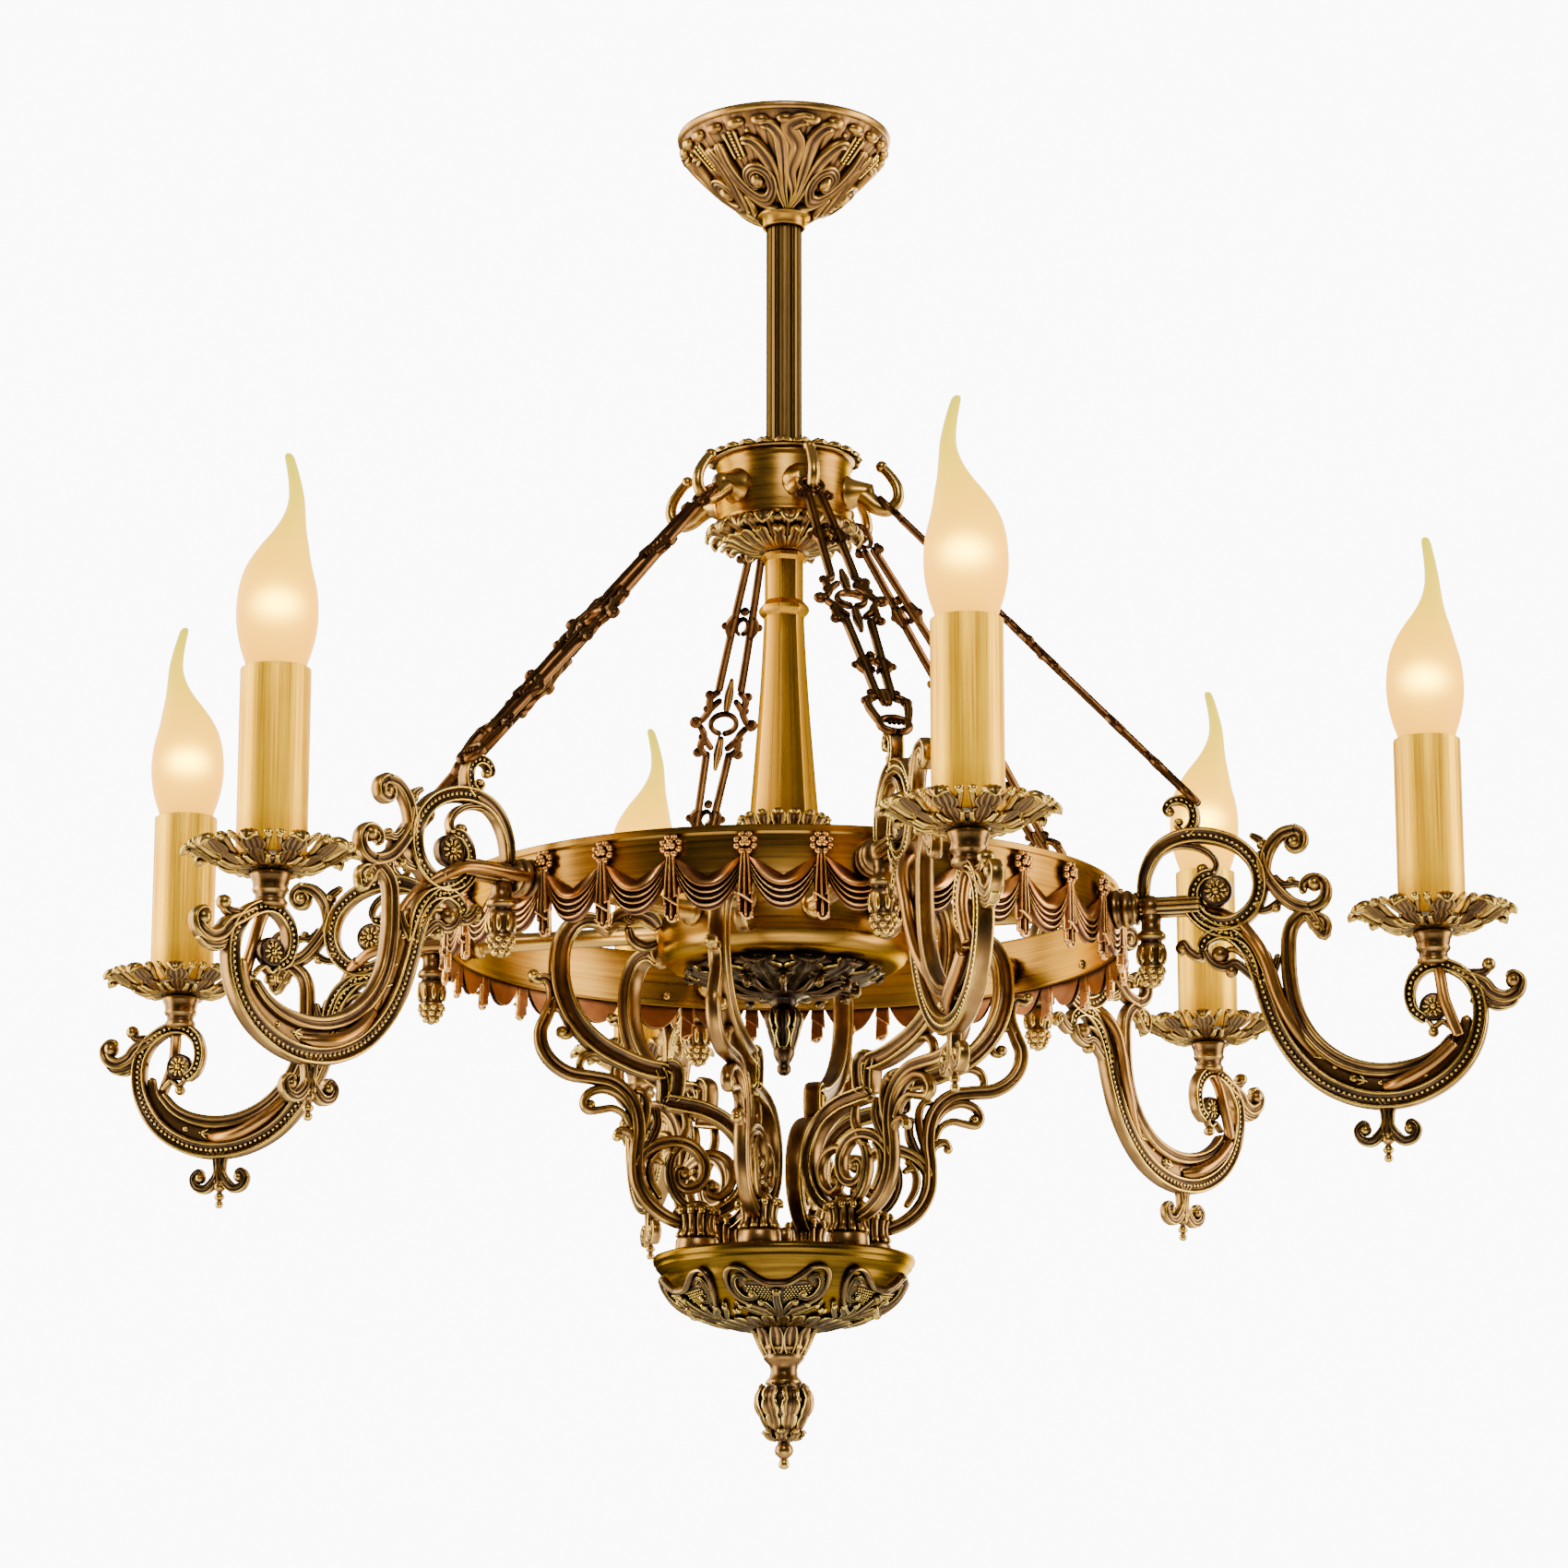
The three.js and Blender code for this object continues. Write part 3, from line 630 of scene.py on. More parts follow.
def lit_glass(name):
    """Frosted amber glass, warmest round the lamp's core and greener up the tail."""
    m = Nodes(name)
    height = m.attribute("rise")
    heart = m.attribute("heart")
    facing = m.node("ShaderNodeLayerWeight")
    facing.inputs["Blend"].default_value = .35
    middle = m.math("SUBTRACT", 1.0, facing.outputs["Facing"], clamp=True)
    core = m.math("MULTIPLY", heart, m.math("POWER", middle, 6.0))
    colour = m.ramp(height, [(0, (.30, .12, 0)), (.26, (.30, .12, 0)), (.5, (.26, .14, 0)),
        (1, (.22, .17, 0))])
    glow = m.ramp(height, [(0, (1, .45, 0)), (.28, (1, .45, 0)), (.5, (1, .52, 0)), (1, (.80, .68, 0))])
    shine = m.mix(core, glow, (1, .72, 0))
    body = m.ramp(height, [(0, (.8, .8, .8)), (.3, (1, 1, 1)), (1, (.44, .44, .44))])
    power = m.math("ADD", m.math("MULTIPLY", body, 3.6), m.math("MULTIPLY", m.math("POWER", core, 1.6),
        16.0))
    m.bump(m.noise(900, 2), .05, .0002)
    return m.set(Base_Color=colour, Roughness=.5, Specular_IOR_Level=.1, Emission_Color=shine,
        Emission_Strength=power)


ANTIQUE = patina("antique_brass", (.024, .012, .008), (.25, .125, .030), (1, .68, .10),
    rough=(.40, .22), low=.30, high=.88)
# A darker copy of the antique brass: painted shade for the pieces seen from below, the bowl's relief
# and the rose and pendant under the drum.
UNDERSIDE_SHADE_BRASS = patina("antique_brass_underside_shade", (.008, .004, .003), (.10, .051, .014), (1, .68, .10),
    rough=(.40, .22), low=.42, high=.94)
CANOPY_GOLD = patina("gilded_relief", (.030, .013, .008), (.32, .150, .030), (1, .66, .08), low=.34,
    high=.84)
DARK = patina("dark_bronze", (.030, .011, .005), (.25, .105, .030), (1, .52, .10), rough=(.38, .25),
    low=.24, high=.84, coat=0)
ROSY = patina("rosy_copper", (.04, .012, .005), (.36, .125, .034), (1, .54, .14), rough=(.38, .24),
    low=.34, high=.84)
BRUSHED_AROUND = brushed_metal("brushed_brass_around", (.18, .086, .016), (.45, .235, .036),
    around=True, fine=620.0, streak=.0022, rough=.30, bump=.08, span=(.30, .70))
COLUMN_BRASS = brushed_metal("brushed_brass_along", (.46, .220, .018), (.70, .350, .030), fine=700.0,
    rough=.30, span=(.25, .75), bump=.04)
STEM_BRASS = brushed_metal("dark_brushed_brass", (.050, .028, .009), (.12, .070, .020), fine=900.0,
    rough=.30, bump=.05)
# Its dark tones are partly painted shade for the underside of the bowl.
SPUN_BOWL = brushed_metal("spun_brass", (.05, .025, .004), (.19, .105, .012), around=True, fine=900.0,
    streak=.003, rough=.28, bump=.1, span=(.25, .75))
GOLD_SLEEVE = brushed_metal("gold_sleeve", (.52, .22, 0), (1, .60, 0), fine=1300.0, streak=.008,
    rough=.42, bump=.4, span=(.36, .60), metal=.7)
SATIN_BRASS = satin("satin_brass", (.56, .31, .060), (.10, .045, .012), .28)
CONDUIT = satin("conduit_copper", (.42, .20, .050), (.20, .09, .022), .30)
GLASS = lit_glass("frosted_glass")
ZINC = satin("zinc_steel", (.66, .66, .63), (.3, .3, .29), .35)


def plastic(name):
    m = Nodes(name)
    tone = m.mix(m.noise(60, 3), (.80, .78, .72), (.88, .86, .80))
    m.bump(m.noise(400, 2), .1, .0003)
    return m.set(Base_Color=tone, Roughness=.55)


HOLDER = plastic("lampholder_plastic")


FLOOR_Z = -4.4


def room():
    """A pale floor, a white surround for the camera and soft panels that shape the metal."""
    world = bpy.data.worlds.new("studio")
    bpy.context.scene.world = world
    world.use_nodes = True
    tree = world.node_tree
    background = tree.nodes["Background"]
    gradient = tree.nodes.new("ShaderNodeTexGradient")
    gradient.gradient_type = "EASING"
    coordinates = tree.nodes.new("ShaderNodeTexCoord")
    mapping = tree.nodes.new("ShaderNodeMapping")
    mapping.inputs["Rotation"].default_value = (0, math.pi / 2, 0)
    ramp = tree.nodes.new("ShaderNodeValToRGB")
    ramp.color_ramp.elements[0].color = (.06, .055, .05, 1)
    ramp.color_ramp.elements[1].color = (.45, .45, .46, 1)
    tree.links.new(coordinates.outputs["Generated"], mapping.inputs["Vector"])
    tree.links.new(mapping.outputs[0], gradient.inputs[0])
    tree.links.new(gradient.outputs[0], ramp.inputs[0])
    tree.links.new(ramp.outputs[0], background.inputs[0])
    background.inputs[1].default_value = .55

    paper = Nodes("white_surround")
    paper.set(Base_Color=(.9, .9, .9), Roughness=.9, Emission_Color=(1, 1, 1), Emission_Strength=10.0)
    bpy.ops.mesh.primitive_uv_sphere_add(segments=48, ring_count=24, radius=9)
    dome = bpy.context.object
    dome.name = "surround"
    dome.data.materials.append(paper.material)
    dome.visible_glossy = False
    dome.visible_diffuse = False
    dome.visible_transmission = False
    dome.visible_shadow = False

    pale = Nodes("pale_floor")
    tone = pale.mix(pale.noise(3, 3), (.80, .80, .79), (.84, .84, .83))
    pale.set(Base_Color=tone, Roughness=.7)
    bpy.ops.mesh.primitive_plane_add(size=24, location=(0, 0, FLOOR_Z))
    floor = bpy.context.object
    floor.name = "floor"
    floor.data.materials.append(pale.material)

    middle = (0, 0, -.4)
    area_light("left_panel", (-2.15, .35, -.3), middle, (1.3, 2.8), 112, (1, .91, .72))
    area_light("right_panel", (2.1, -.6, -.3), middle, (1.2, 2.8), 106, (1, .91, .72))
    area_light("front_panel", (-.5, -2.3, 1.1), middle, (.8, .5), 26, (1, .97, .93))
    fill = area_light("diffuse_fill", (.4, -3.0, .1), middle, (2.4, 1.6), 170, (1, .92, .62))
    fill.visible_glossy = False
    wash = area_light("floor_wash", (0, 0, -.9), (0, 0, FLOOR_Z), (12, 12), 1150)
    wash.visible_glossy = False
    area_light("low_panel", (-.3, -1.4, -1.9), middle, (1.8, .6), 10, (1, .93, .84))
    area_light("back_left_panel", (-1.6, 1.9, .2), middle, (1.1, 2.2), 60, (1, .94, .84))
    area_light("back_right_panel", (1.6, 1.9, -.2), middle, (1.1, 2.2), 60, (1, .94, .84))


make_camera()
room()


# ---- Wrapping flat ornament onto turned shapes ---------------------------------------------------
def outward_normals(outline):
    """Unit normals of a (radius, height) outline, pointing away from the axis."""
    slope = unit(np.gradient(outline, axis=0))
    facing = np.stack([-slope[:, 1], slope[:, 0]], 1)
    return -facing if facing[len(facing) // 2, 0] < 0 else facing


def wrap_profile(profile, radius):
    """Lays flat ornament on a turned surface: x round it, -z down its outline, -y outwards."""
    profile = resample(np.array(profile, float), .5)
    along = travel(profile)
    facing = outward_normals(profile)

    def move(points):
        s = np.clip(-points[:, 2], 0, along[-1])
        r, z = np.interp(s, along, profile[:, 0]), np.interp(s, along, profile[:, 1])
        out_r, out_z = np.interp(s, along, facing[:, 0]), np.interp(s, along, facing[:, 1])
        lift = -points[:, 1]
        angle = points[:, 0] / radius - math.pi / 2
        return np.stack([(r + lift * out_r) * np.cos(angle), (r + lift * out_r) * np.sin(angle),
            z + lift * out_z], 1)
    return move


def relief_shell(outer, inner, sides, wave, rows=90):
    """A turned shell with a bore; wave(angle, fraction) moves its outer face outwards."""
    casting = Casting()
    outer = resample(np.array(outer, float), path_length(np.array(outer, float)) / rows)
    inner = np.array(inner, float)
    a = np.arange(sides) * TAU / sides
    facing = outward_normals(outer)
    lift = wave(a[None, :], np.linspace(0, 1, len(outer))[:, None])
    r = np.vstack([outer[:, :1] + lift * facing[:, :1], np.repeat(inner[:, :1], sides, 1)])
    z = np.vstack([outer[:, 1:] + lift * facing[:, 1:], np.repeat(inner[:, 1:], sides, 1)])
    points = np.stack([r * np.cos(a), r * np.sin(a), z], -1)
    casting.loop(points)
    return casting


# ---- Canopy, collar and stem ---------------------------------------------------------------------
BELL = smooth_line([(49.8, -3), (47.2, -7), (42.4, -12.4), (36.4, -18.6), (29.8, -25), (23.4, -30.4),
    (17.8, -34.6), (12.4, -38)], .6)
CANOPY_MOTIFS = 3
CANOPY_OFFSET = -5.8        # degrees from the front
CANOPY_FLAT_R = 35          # the flat ornament is drawn for this radius


def canopy():
    inner = [(10, -37.6), (10, -36.6), (23, -29.2), (34, -18.5), (43, -8.5), (47.6, 0), (50.6, 0),
        (51, -1.4)]

    def flutes(angle, f):
        hold = np.clip(f * 7, 0, 1) * np.clip((1 - f) * 5, 0, 1)
        return hold * .5 * np.abs(np.sin(28 * angle)) ** .8

    shell = relief_shell(BELL, inner, 720, flutes, 70)
    flat = Casting()
    for k in range(CANOPY_MOTIFS):
        x0 = CANOPY_FLAT_R * (math.radians(CANOPY_OFFSET) + TAU * k / CANOPY_MOTIFS)
        flat.stroke([(x0, -55), (x0 + 2.6, -44), (x0 - 1.8, -32), (x0 + .6, -19), (x0 - 3.4, -9.5),
            (x0 + 1.4, -5), (x0 + 5.4, -7)], (4, 9.5, 6.5), (4, 7, 6), GROOVED, step=.8, y=-.6)
        for side in (-1, 1):
            flat_scrolls(flat, x0, side)
    knobs = 24
    for i in range(knobs):
        x = CANOPY_FLAT_R * (math.radians(CANOPY_OFFSET) + TAU * (i + .5) / knobs)
        flat.ball((x, -.9, -5.2), 3.5, (1, .85, .78), 14, 7)
    shell.add_casting(flat, wrap_profile(BELL, CANOPY_FLAT_R))
    rim = Casting()
    rim.ring([(48.6, -.1), (50.9, -.1), (51.4, -1.2), (51.2, -2.6), (50.4, -3.6), (49, -3.8),
        (48.2, -2.8)], 160)
    shell.add_casting(rim)
    make_piece("canopy_relief", shell, CANOPY_GOLD, "canopy", ["canopy"])


def flat_scrolls(flat, x0, side):
    """One side's flame leaves, its C-scroll with a volute, and the beaded ribs above it."""
    def at(points):
        return [(x0 + side * x, z) for x, z in points]

    volute = [(33.4, -12), (34.6, -24), (32.6, -35.4), (26.4, -43.4), (18.4, -44.8), (13.2, -39.6),
        (14.4, -32), (20, -28), (26, -30.4), (27, -36), (23, -38.4)]
    flat.stroke(at(volute), (5.0, 7.4, 7.2, 6.0, 4.2), (5, 7.8, 7.6, 6), RIDGED, step=.7, y=-1.4)
    flat.ball((x0 + side * 21.6, -2.8, -34.8), 4.0, (1, .8, 1), 16, 8)
    flat.stroke(at([(3, -55), (12, -53), (23, -50.6), (31, -46.6), (36, -40)]), (3, 5.4, 4.6),
        (4, 6, 5), ROUND, step=.8, y=-.8)
    flat.stroke(at([(2.4, -54), (7.6, -46), (9.8, -38), (11.4, -30), (14.6, -21.4), (18.6, -14.6),
        (23.4, -14)]), (3, 6.2, 7.4, 4.6), (4, 6.8, 6.2), GROOVED, step=.8, y=-.8)
    flat.stroke(at([(1.6, -52), (4.8, -42), (5.4, -33), (5.8, -23), (6.8, -14), (10.4, -7.4),
        (14.4, -8)]), (3, 6.0, 7.2, 4.6), (4, 6.8, 6.2), GROOVED, step=.8, y=-.8)
    for rib, start in ((19.4, -11), (24.4, -23), (29.4, -23)):
        flat.stroke(at([(rib, start), (rib, -8.4)]), 1.5, 2.6, ROUND, step=1, y=-.6)
    for i in range(9):
        flat.ball((x0 + side * 26.9, -.9, -22.6 + 1.7 * i), .85, (1, 1, 1), 8, 4)


def collar_and_stem():
    collar = Casting()
    collar.ring([(9.0, -38.3), (9.0, -46), (9.8, -46.2), (10.3, -45.6), (10.4, -41.6), (12.3, -41.2),
        (12.9, -40.4), (12.9, -39.2), (12.3, -38.4)], 96)
    make_piece("canopy_collar_turned", collar, BRUSHED_AROUND, "canopy", ["canopy_collar"])
    sides = 192
    a = np.arange(sides) * TAU / sides
    reach = 8.6 - .85 * np.clip(np.abs(np.sin(8 * a)) * 1.5, 0, 1) ** .6
    stem = Casting()
    levels = [-3.6, -4.0, -4.4] + list(np.linspace(-8, -160, 40)) + [-163.4]
    outer = np.stack([np.stack([reach * np.cos(a), reach * np.sin(a), np.full(sides, z)],
        -1) for z in levels])
    inner = np.stack([np.stack([5.6 * np.cos(a), 5.6 * np.sin(a), np.full(sides, z)],
        -1) for z in (levels[-1], levels[0])])
    stem.loop(np.concatenate([outer, inner]))
    make_piece("stem_fluted", stem, STEM_BRASS, FRAME_BODY, ["stem_tube"],
        flat_angle=50)


# ---- Hub -----------------------------------------------------------------------------------------
def hub():
    drum = Casting()
    drum.ring([(8.9, -163.9), (30.6, -163.9), (31.6, -164.3), (32.1, -165.2), (32.1, -166.4),
        (31.6, -167.2), (31.7, -168), (31.9, -192.6), (32.3, -193.4), (32.4, -194.6), (31.9, -195.6),
        (30.8, -196.2), (12, -196.6), (8.9, -196.6)], 160)
    make_piece("hub_drum_spun", drum, BRUSHED_AROUND, FRAME_BODY, ["hub_drum"],
        flat_angle=40)

    leaves = Casting()
    leaf_row(leaves, 24, 0, [(25.5, -162.8), (30, -161.9), (34.2, -161.4), (36.6, -163.0)], 5.2, 1.3,
        lobes=3, rows=14, cols=9)
    leaves.ring([(9, -163.5), (9, -162.5), (10.5, -162.1), (32, -162.0), (33.6, -162.8),
        (33.6, -163.5)], 96)
    leaf_row(leaves, 18, 0, [(12, -206.5), (20, -204), (28, -199.4), (33.6, -197.4), (36, -200.2),
        (35.2, -202)], 5.4, 1.6, lobes=3, cup=-.15, rows=24, cols=11)
    leaf_row(leaves, 18, 10, [(11, -208), (17, -207), (24, -203.6), (28.6, -203), (30, -205.4)], 3.4,
        1.6, lobes=2, cup=-.15, rows=18, cols=9)
    leaves.turned([(0, -196.4), (30, -196.6), (30.5, -198), (24, -201), (13, -205.6), (11.6, -208),
        (0, -208)], 96)
    make_piece("hub_leaves", leaves, ANTIQUE, FRAME_BODY)

    hooks = Casting()
    for angle in ARM_ANGLES:
        hook = Casting()
        trumpet = Casting()
        trumpet.turned([(0, 29), (8.8, 30.5), (8.6, 31.9), (7.7, 33), (6.6, 35), (5.6, 38), (4.6, 41),
            (3.8, 43.5), (0, 44.2)], 40)
        hook.add_casting(trumpet, lambda p: np.stack([p[:, 2], p[:, 0], p[:, 1] - 181], 1))
        hook.cord([(36, 0, -181), (41, 0, -184.6), (45.5, 0, -188.4), (50.5, 0, -190.2),
            (54.3, 0, -188), (56, 0, -184), (55, 0, -178.6), (51.4, 0, -173), (48.2, 0, -169.4)],
            (5.4, 2.9, 2.2), 16, .8)
        hook.ball((47.8, 0, -169), 2.9, sides=14, rows=8)
        hooks.add_casting(hook, turn(angle))
    make_piece("hub_hooks", hooks, SATIN_BRASS, FRAME_BODY)


# ---- Column --------------------------------------------------------------------------------------
def octagon(radius, soften=.6):
    """One ring of an octagonal prism with softened corners, flats facing the arms' half-angles."""
    ring = []
    for k in range(8):
        corner = TAU * (k + .5) / 8
        here = np.array((math.cos(corner), math.sin(corner))) * radius
        before = np.array((math.cos(corner - TAU / 8), math.sin(corner - TAU / 8))) * radius
        after = np.array((math.cos(corner + TAU / 8), math.sin(corner + TAU / 8))) * radius
        edge = np.linalg.norm(after - here)
        a = here + (before - here) / edge * soften
        b = here + (after - here) / edge * soften
        ring += [a, (a + b) / 2 * .35 + here * .65, b]
    return np.array(ring)


def column():
    shaft = Casting()
    levels = [(10.2, -208.4), (10.9, -209), (10.9, -210.6), (10.2, -211.4), (9.3, -212.4),
        (9.3, -231.4), (10.6, -233), (12, -234.6), (12.2, -236.4), (11.4, -238), (9.8, -239.4),
        (9.7, -241)]
    levels += [(9.7 + 6.6 * ((t + 241) / (-334 + 241)) ** 1.25, t) for t in np.linspace(-246, -334, 12)]
    levels += [(16.2, -348)]
    rings = [np.column_stack([octagon(r), np.full(24, z)]) for r, z in levels]
    shaft.tube(np.array(rings))
    make_piece("column_octagonal", shaft, COLUMN_BRASS, FRAME_BODY, ["column"],
        flat_angle=24)
    base = Casting()
    base.turned([(0, -342), (15.5, -343), (14, -349), (13.4, -356), (14.4, -362), (18, -367),
        (24, -371), (27.2, -373), (27.6, -375), (26.4, -377.4), (0, -377.6)], 96)
    leaf_row(base, 16, 0, [(13, -349), (16.4, -344), (18.2, -338.6), (20.2, -336.4), (21.4, -338.4)],
        3.6, 1.3, lobes=2, rows=16, cols=9)
    leaf_row(base, 16, 0, [(14.4, -360), (17.6, -366), (23, -370), (27, -372)], 4.2, 1.1, lobes=2,
        rows=16, cols=9)
    make_piece("column_leaves", base, ANTIQUE, FRAME_BODY)


# ---- Ring, screws and swags ----------------------------------------------------------------------
def ring_band():
    band = Casting()
    band.ring([(153.2, -373.4), (153.6, -372.8), (155.2, -372.7), (155.9, -373.3), (155.9, -375.8),
        (155.2, -376.6), (155, -377.4), (155, -397.6), (155.3, -398.6), (155, -399.2), (153.3, -399.2),
        (153, -398.6), (153.4, -397.6), (153.4, -374.4)], 288)
    make_piece("ring_band_rolled", band, BRUSHED_AROUND, FRAME_BODY, ["ring_band"],
        flat_angle=40)
    screws = Casting()
    for i in range(12):
        screw = Casting()
        screw.turned([(0, 0), (2.2, 0), (2.1, .7), (1.6, 1.3), (.8, 1.6), (0, 1.7)], 20)
        screws.add_casting(screw, lambda p, a=30 * i + 8: turn(a)(np.stack([153.3 - p[:, 2], p[:, 0],
            p[:, 1] - 394], 1)))
    make_piece("ring_screws", screws, SATIN_BRASS, FRAME_BODY)


SWAGS = 30
SWAG_PITCH = 12.0            # degrees
SWAG_OFFSET = 3.6            # degrees from the front to the first rosette
SWAG_R = 155.5


def drape(pitch):
    """One hanging fold of cloth between two ties, in the flat: x along the ring, -y outwards."""
    t = np.linspace(-1, 1, 41)[None, :]
    u = np.linspace(0, 1, 29)[:, None]
    sag = 1 - np.abs(t) ** 2.3
    x = pitch / 2 + (pitch / 2 - 1.0 - 1.4 * u) * t
    z = -386.2 - 9.6 * u - (13.6 + .9 * u) * sag
    folds = (.5 + .5 * np.cos(TAU * 3.7 * u + .5 * t)) ** .8
    lift = .5 + (1.0 + 1.0 * sag) * folds + .8 * sag + .5 * (1 - sag)
    front = np.stack([x, -lift, z], -1)
    back = np.stack([x, np.full_like(lift, .15), z], -1)
    return front, back


def jabot(x0, top, bottom, half, slant, lift, pleats):
    """A gathered tail of cloth hanging from a tie, its hem cut on the slant."""
    t = np.linspace(-1, 1, 19)[None, :]
    f = np.linspace(0, 1, 25)[:, None]
    x = x0 + (.9 + (half - .9) * np.sqrt(f)) * t
    z = top + (bottom - top) * f + slant * t * f ** 3
    out = lift + (.25 + .75 * f) * .8 * np.cos(math.pi * pleats * t) + .6 * (1 - t ** 2)
    front = np.stack([x, -out, z], -1)
    back = np.stack([x, np.full_like(out, .1), z], -1)
    return front, back


def swags():
    pitch = SWAG_R * math.radians(SWAG_PITCH)
    one = Casting()
    one.sheet(*drape(pitch))
    one.sheet(*jabot(.3, -384.5, -413.4, 3.0, -1.1, 1.6, 2.0))
    one.sheet(*jabot(-.2, -384.0, -405.6, 3.5, 2.4, 2.6, 3.0))
    one.stroke([(-1.9, -411.6), (-.4, -414.3), (1.8, -414.2), (2.9, -411.4)], 1.5, 2.6, ROUND, step=.6,
        y=-1.5)
    one.stroke([(-3.5, -403.4), (0, -405.6), (3.4, -408.0)], 1.2, 1.9, ROUND, step=.6, y=-3.2)
    petals = 8
    for i in range(petals):
        a = TAU * (i + .5) / petals
        one.ball((3.75 * math.cos(a), -2.2, -381.4 + 3.75 * math.sin(a)), 1.65, (1, .95, 1), 10, 6)
    for i in range(3):
        a = TAU * (i / 3 + .25)
        one.ball((1.2 * math.cos(a), -3.7, -381.2 + 1.2 * math.sin(a)), 1.5, (1, .9, 1), 10, 6)
    one.stroke([(0, -378.2), (0, -385.2)], 8.0, 2.6, ROUND, step=1, y=-.9)
    strip = Casting()
    for i in range(SWAGS):
        offset = shift(SWAG_R * math.radians(SWAG_OFFSET + SWAG_PITCH * i))
        strip.add_casting(one, lambda p: wrap(SWAG_R)(offset(p)))
    make_piece("swag_strip", strip, ROSY, FRAME_BODY, ["swag_trim"])


# ---- Centre drum, spokes, pendant ----------------------------------------------------------------
def centre_drum():
    drum = Casting()
    drum.ring([(5, -378.2), (56.6, -378.2), (57.8, -378.6), (58.3, -379.6), (58.3, -398.4),
        (57.8, -401.4), (56.2, -404.2), (53.6, -406.2), (50.6, -407), (5, -407), (5, -405.4),
        (50, -405.4), (54.6, -403), (56.6, -398), (56.6, -379.8), (5, -379.8)], 200)
    make_piece("drum_spun", drum, BRUSHED_AROUND, FRAME_BODY, ["centre_drum"],
        flat_angle=40)
    spokes = Casting()
    for angle in ARM_ANGLES:
        spoke = Casting()
        spoke.turned([(0, 57.6), (6.8, 57.8), (6.8, 59.6), (5.6, 60.6), (4.3, 61.2), (4.3, 146.4),
            (5.6, 147), (6.6, 148), (6.6, 152.4), (0, 152.8)], 36)
        spokes.add_casting(spoke, lambda p, a=angle: turn(a)(lie_outwards(p)))
    make_piece("drum_spokes", spokes, SATIN_BRASS, FRAME_BODY)
    rose = Casting()
    for reach, drop, wide, start in ((46.5, -408.6, 9.5, 0), (33, -413, 7, 15)):
        spine = [(9, -420), (reach * .45, -418.5 + (reach - 33) * .1), (reach * .75, -414.5),
            (reach * .96, drop - 2), (reach, drop + .4), (reach * .95, drop - 3.4)]
        leaf_row(rose, 12, start, spine, wide, 1.7, lobes=4, lobe_depth=.42, cup=-.12, rows=32)
    for i in range(12):
        scroll = Casting()
        scroll.cord([(12, 0, -419.5), (20, 0, -419), (28, 0, -416), (34, 0, -416.8), (33, 0, -419.4),
            (31.2, 0, -418.4)], (1.6, 1.5, 1.9), 10, .8)
        rose.add_casting(scroll, turn(30 * i + 15))
    rose.turned([(0, -407.3), (40, -407.4), (43, -408.4), (30, -414), (14, -419.4), (0, -421)], 96)
    rose.turned([(0, -457.4), (2.0, -457), (3.2, -455.4), (3.3, -453.4), (2.6, -451.8), (3.8, -450.2),
        (4.9, -447.6), (5.1, -445.4), (4.4, -443.4), (4.8, -440), (5.8, -436.4), (7.2, -432.4),
        (7.6, -429), (7.0, -426.4), (5.2, -425), (6.6, -424), (6.0, -422.6), (8, -421.4), (12.5, -420),
        (13, -418), (0, -418)], 48)
    leaf_row(rose, 6, 10, [(4.6, -445), (5.6, -440), (7.4, -434), (8.0, -430), (6.6, -426.6)], 3.6, 1.5,
        lobes=2, rows=22, cols=9)
    make_piece("drum_rose_and_pendant", rose, UNDERSIDE_SHADE_BRASS, FRAME_BODY, ["drum_pendant"])


# ---- Bowl and finial -----------------------------------------------------------------------------
BOWL = smooth_line([(57.4, -548), (55.2, -551), (53.6, -555), (50.6, -559.6), (46, -563.4),
    (38, -567.2), (28, -570.4), (18, -572.8), (12.5, -574)], .6)
CARTOUCHES = 6
CARTOUCHE_OFFSET = -17.7    # degrees from the front
BOWL_FLAT_R = 50            # the flat relief is drawn for this radius


def bowl():
    inner = [(4, -573.6), (4, -571.8), (28, -568.4), (44, -561.8), (51.4, -554), (53.2, -546),
        (52.6, -543.6), (4, -543), (4, -541), (40, -541), (52, -540.6), (57, -540.8), (59.4, -541.6),
        (60, -543.2), (59.6, -545), (58.2, -546.0), (58.6, -546.8), (57.9, -547.6)]
    dish = relief_shell(BOWL, inner, 360, lambda angle, f: np.zeros_like(angle), 60)
    make_piece("bowl_spun", dish, SPUN_BOWL, FRAME_BODY, ["bowl"])
    flat = Casting()
    for i in range(CARTOUCHES):
        cartouche(flat, BOWL_FLAT_R * (math.radians(CARTOUCHE_OFFSET) + TAU * i / CARTOUCHES))
    relief = Casting()
    relief.add_casting(flat, wrap_profile(BOWL, BOWL_FLAT_R))
    leaf_row(relief, 24, 0, [(14, -574.6), (20, -574.0), (27, -572.6), (31, -571.4)], 3.4, 1.6, lobes=2,
        cup=-.15, rows=18, cols=9)
    make_piece("bowl_relief", relief, UNDERSIDE_SHADE_BRASS, FRAME_BODY)


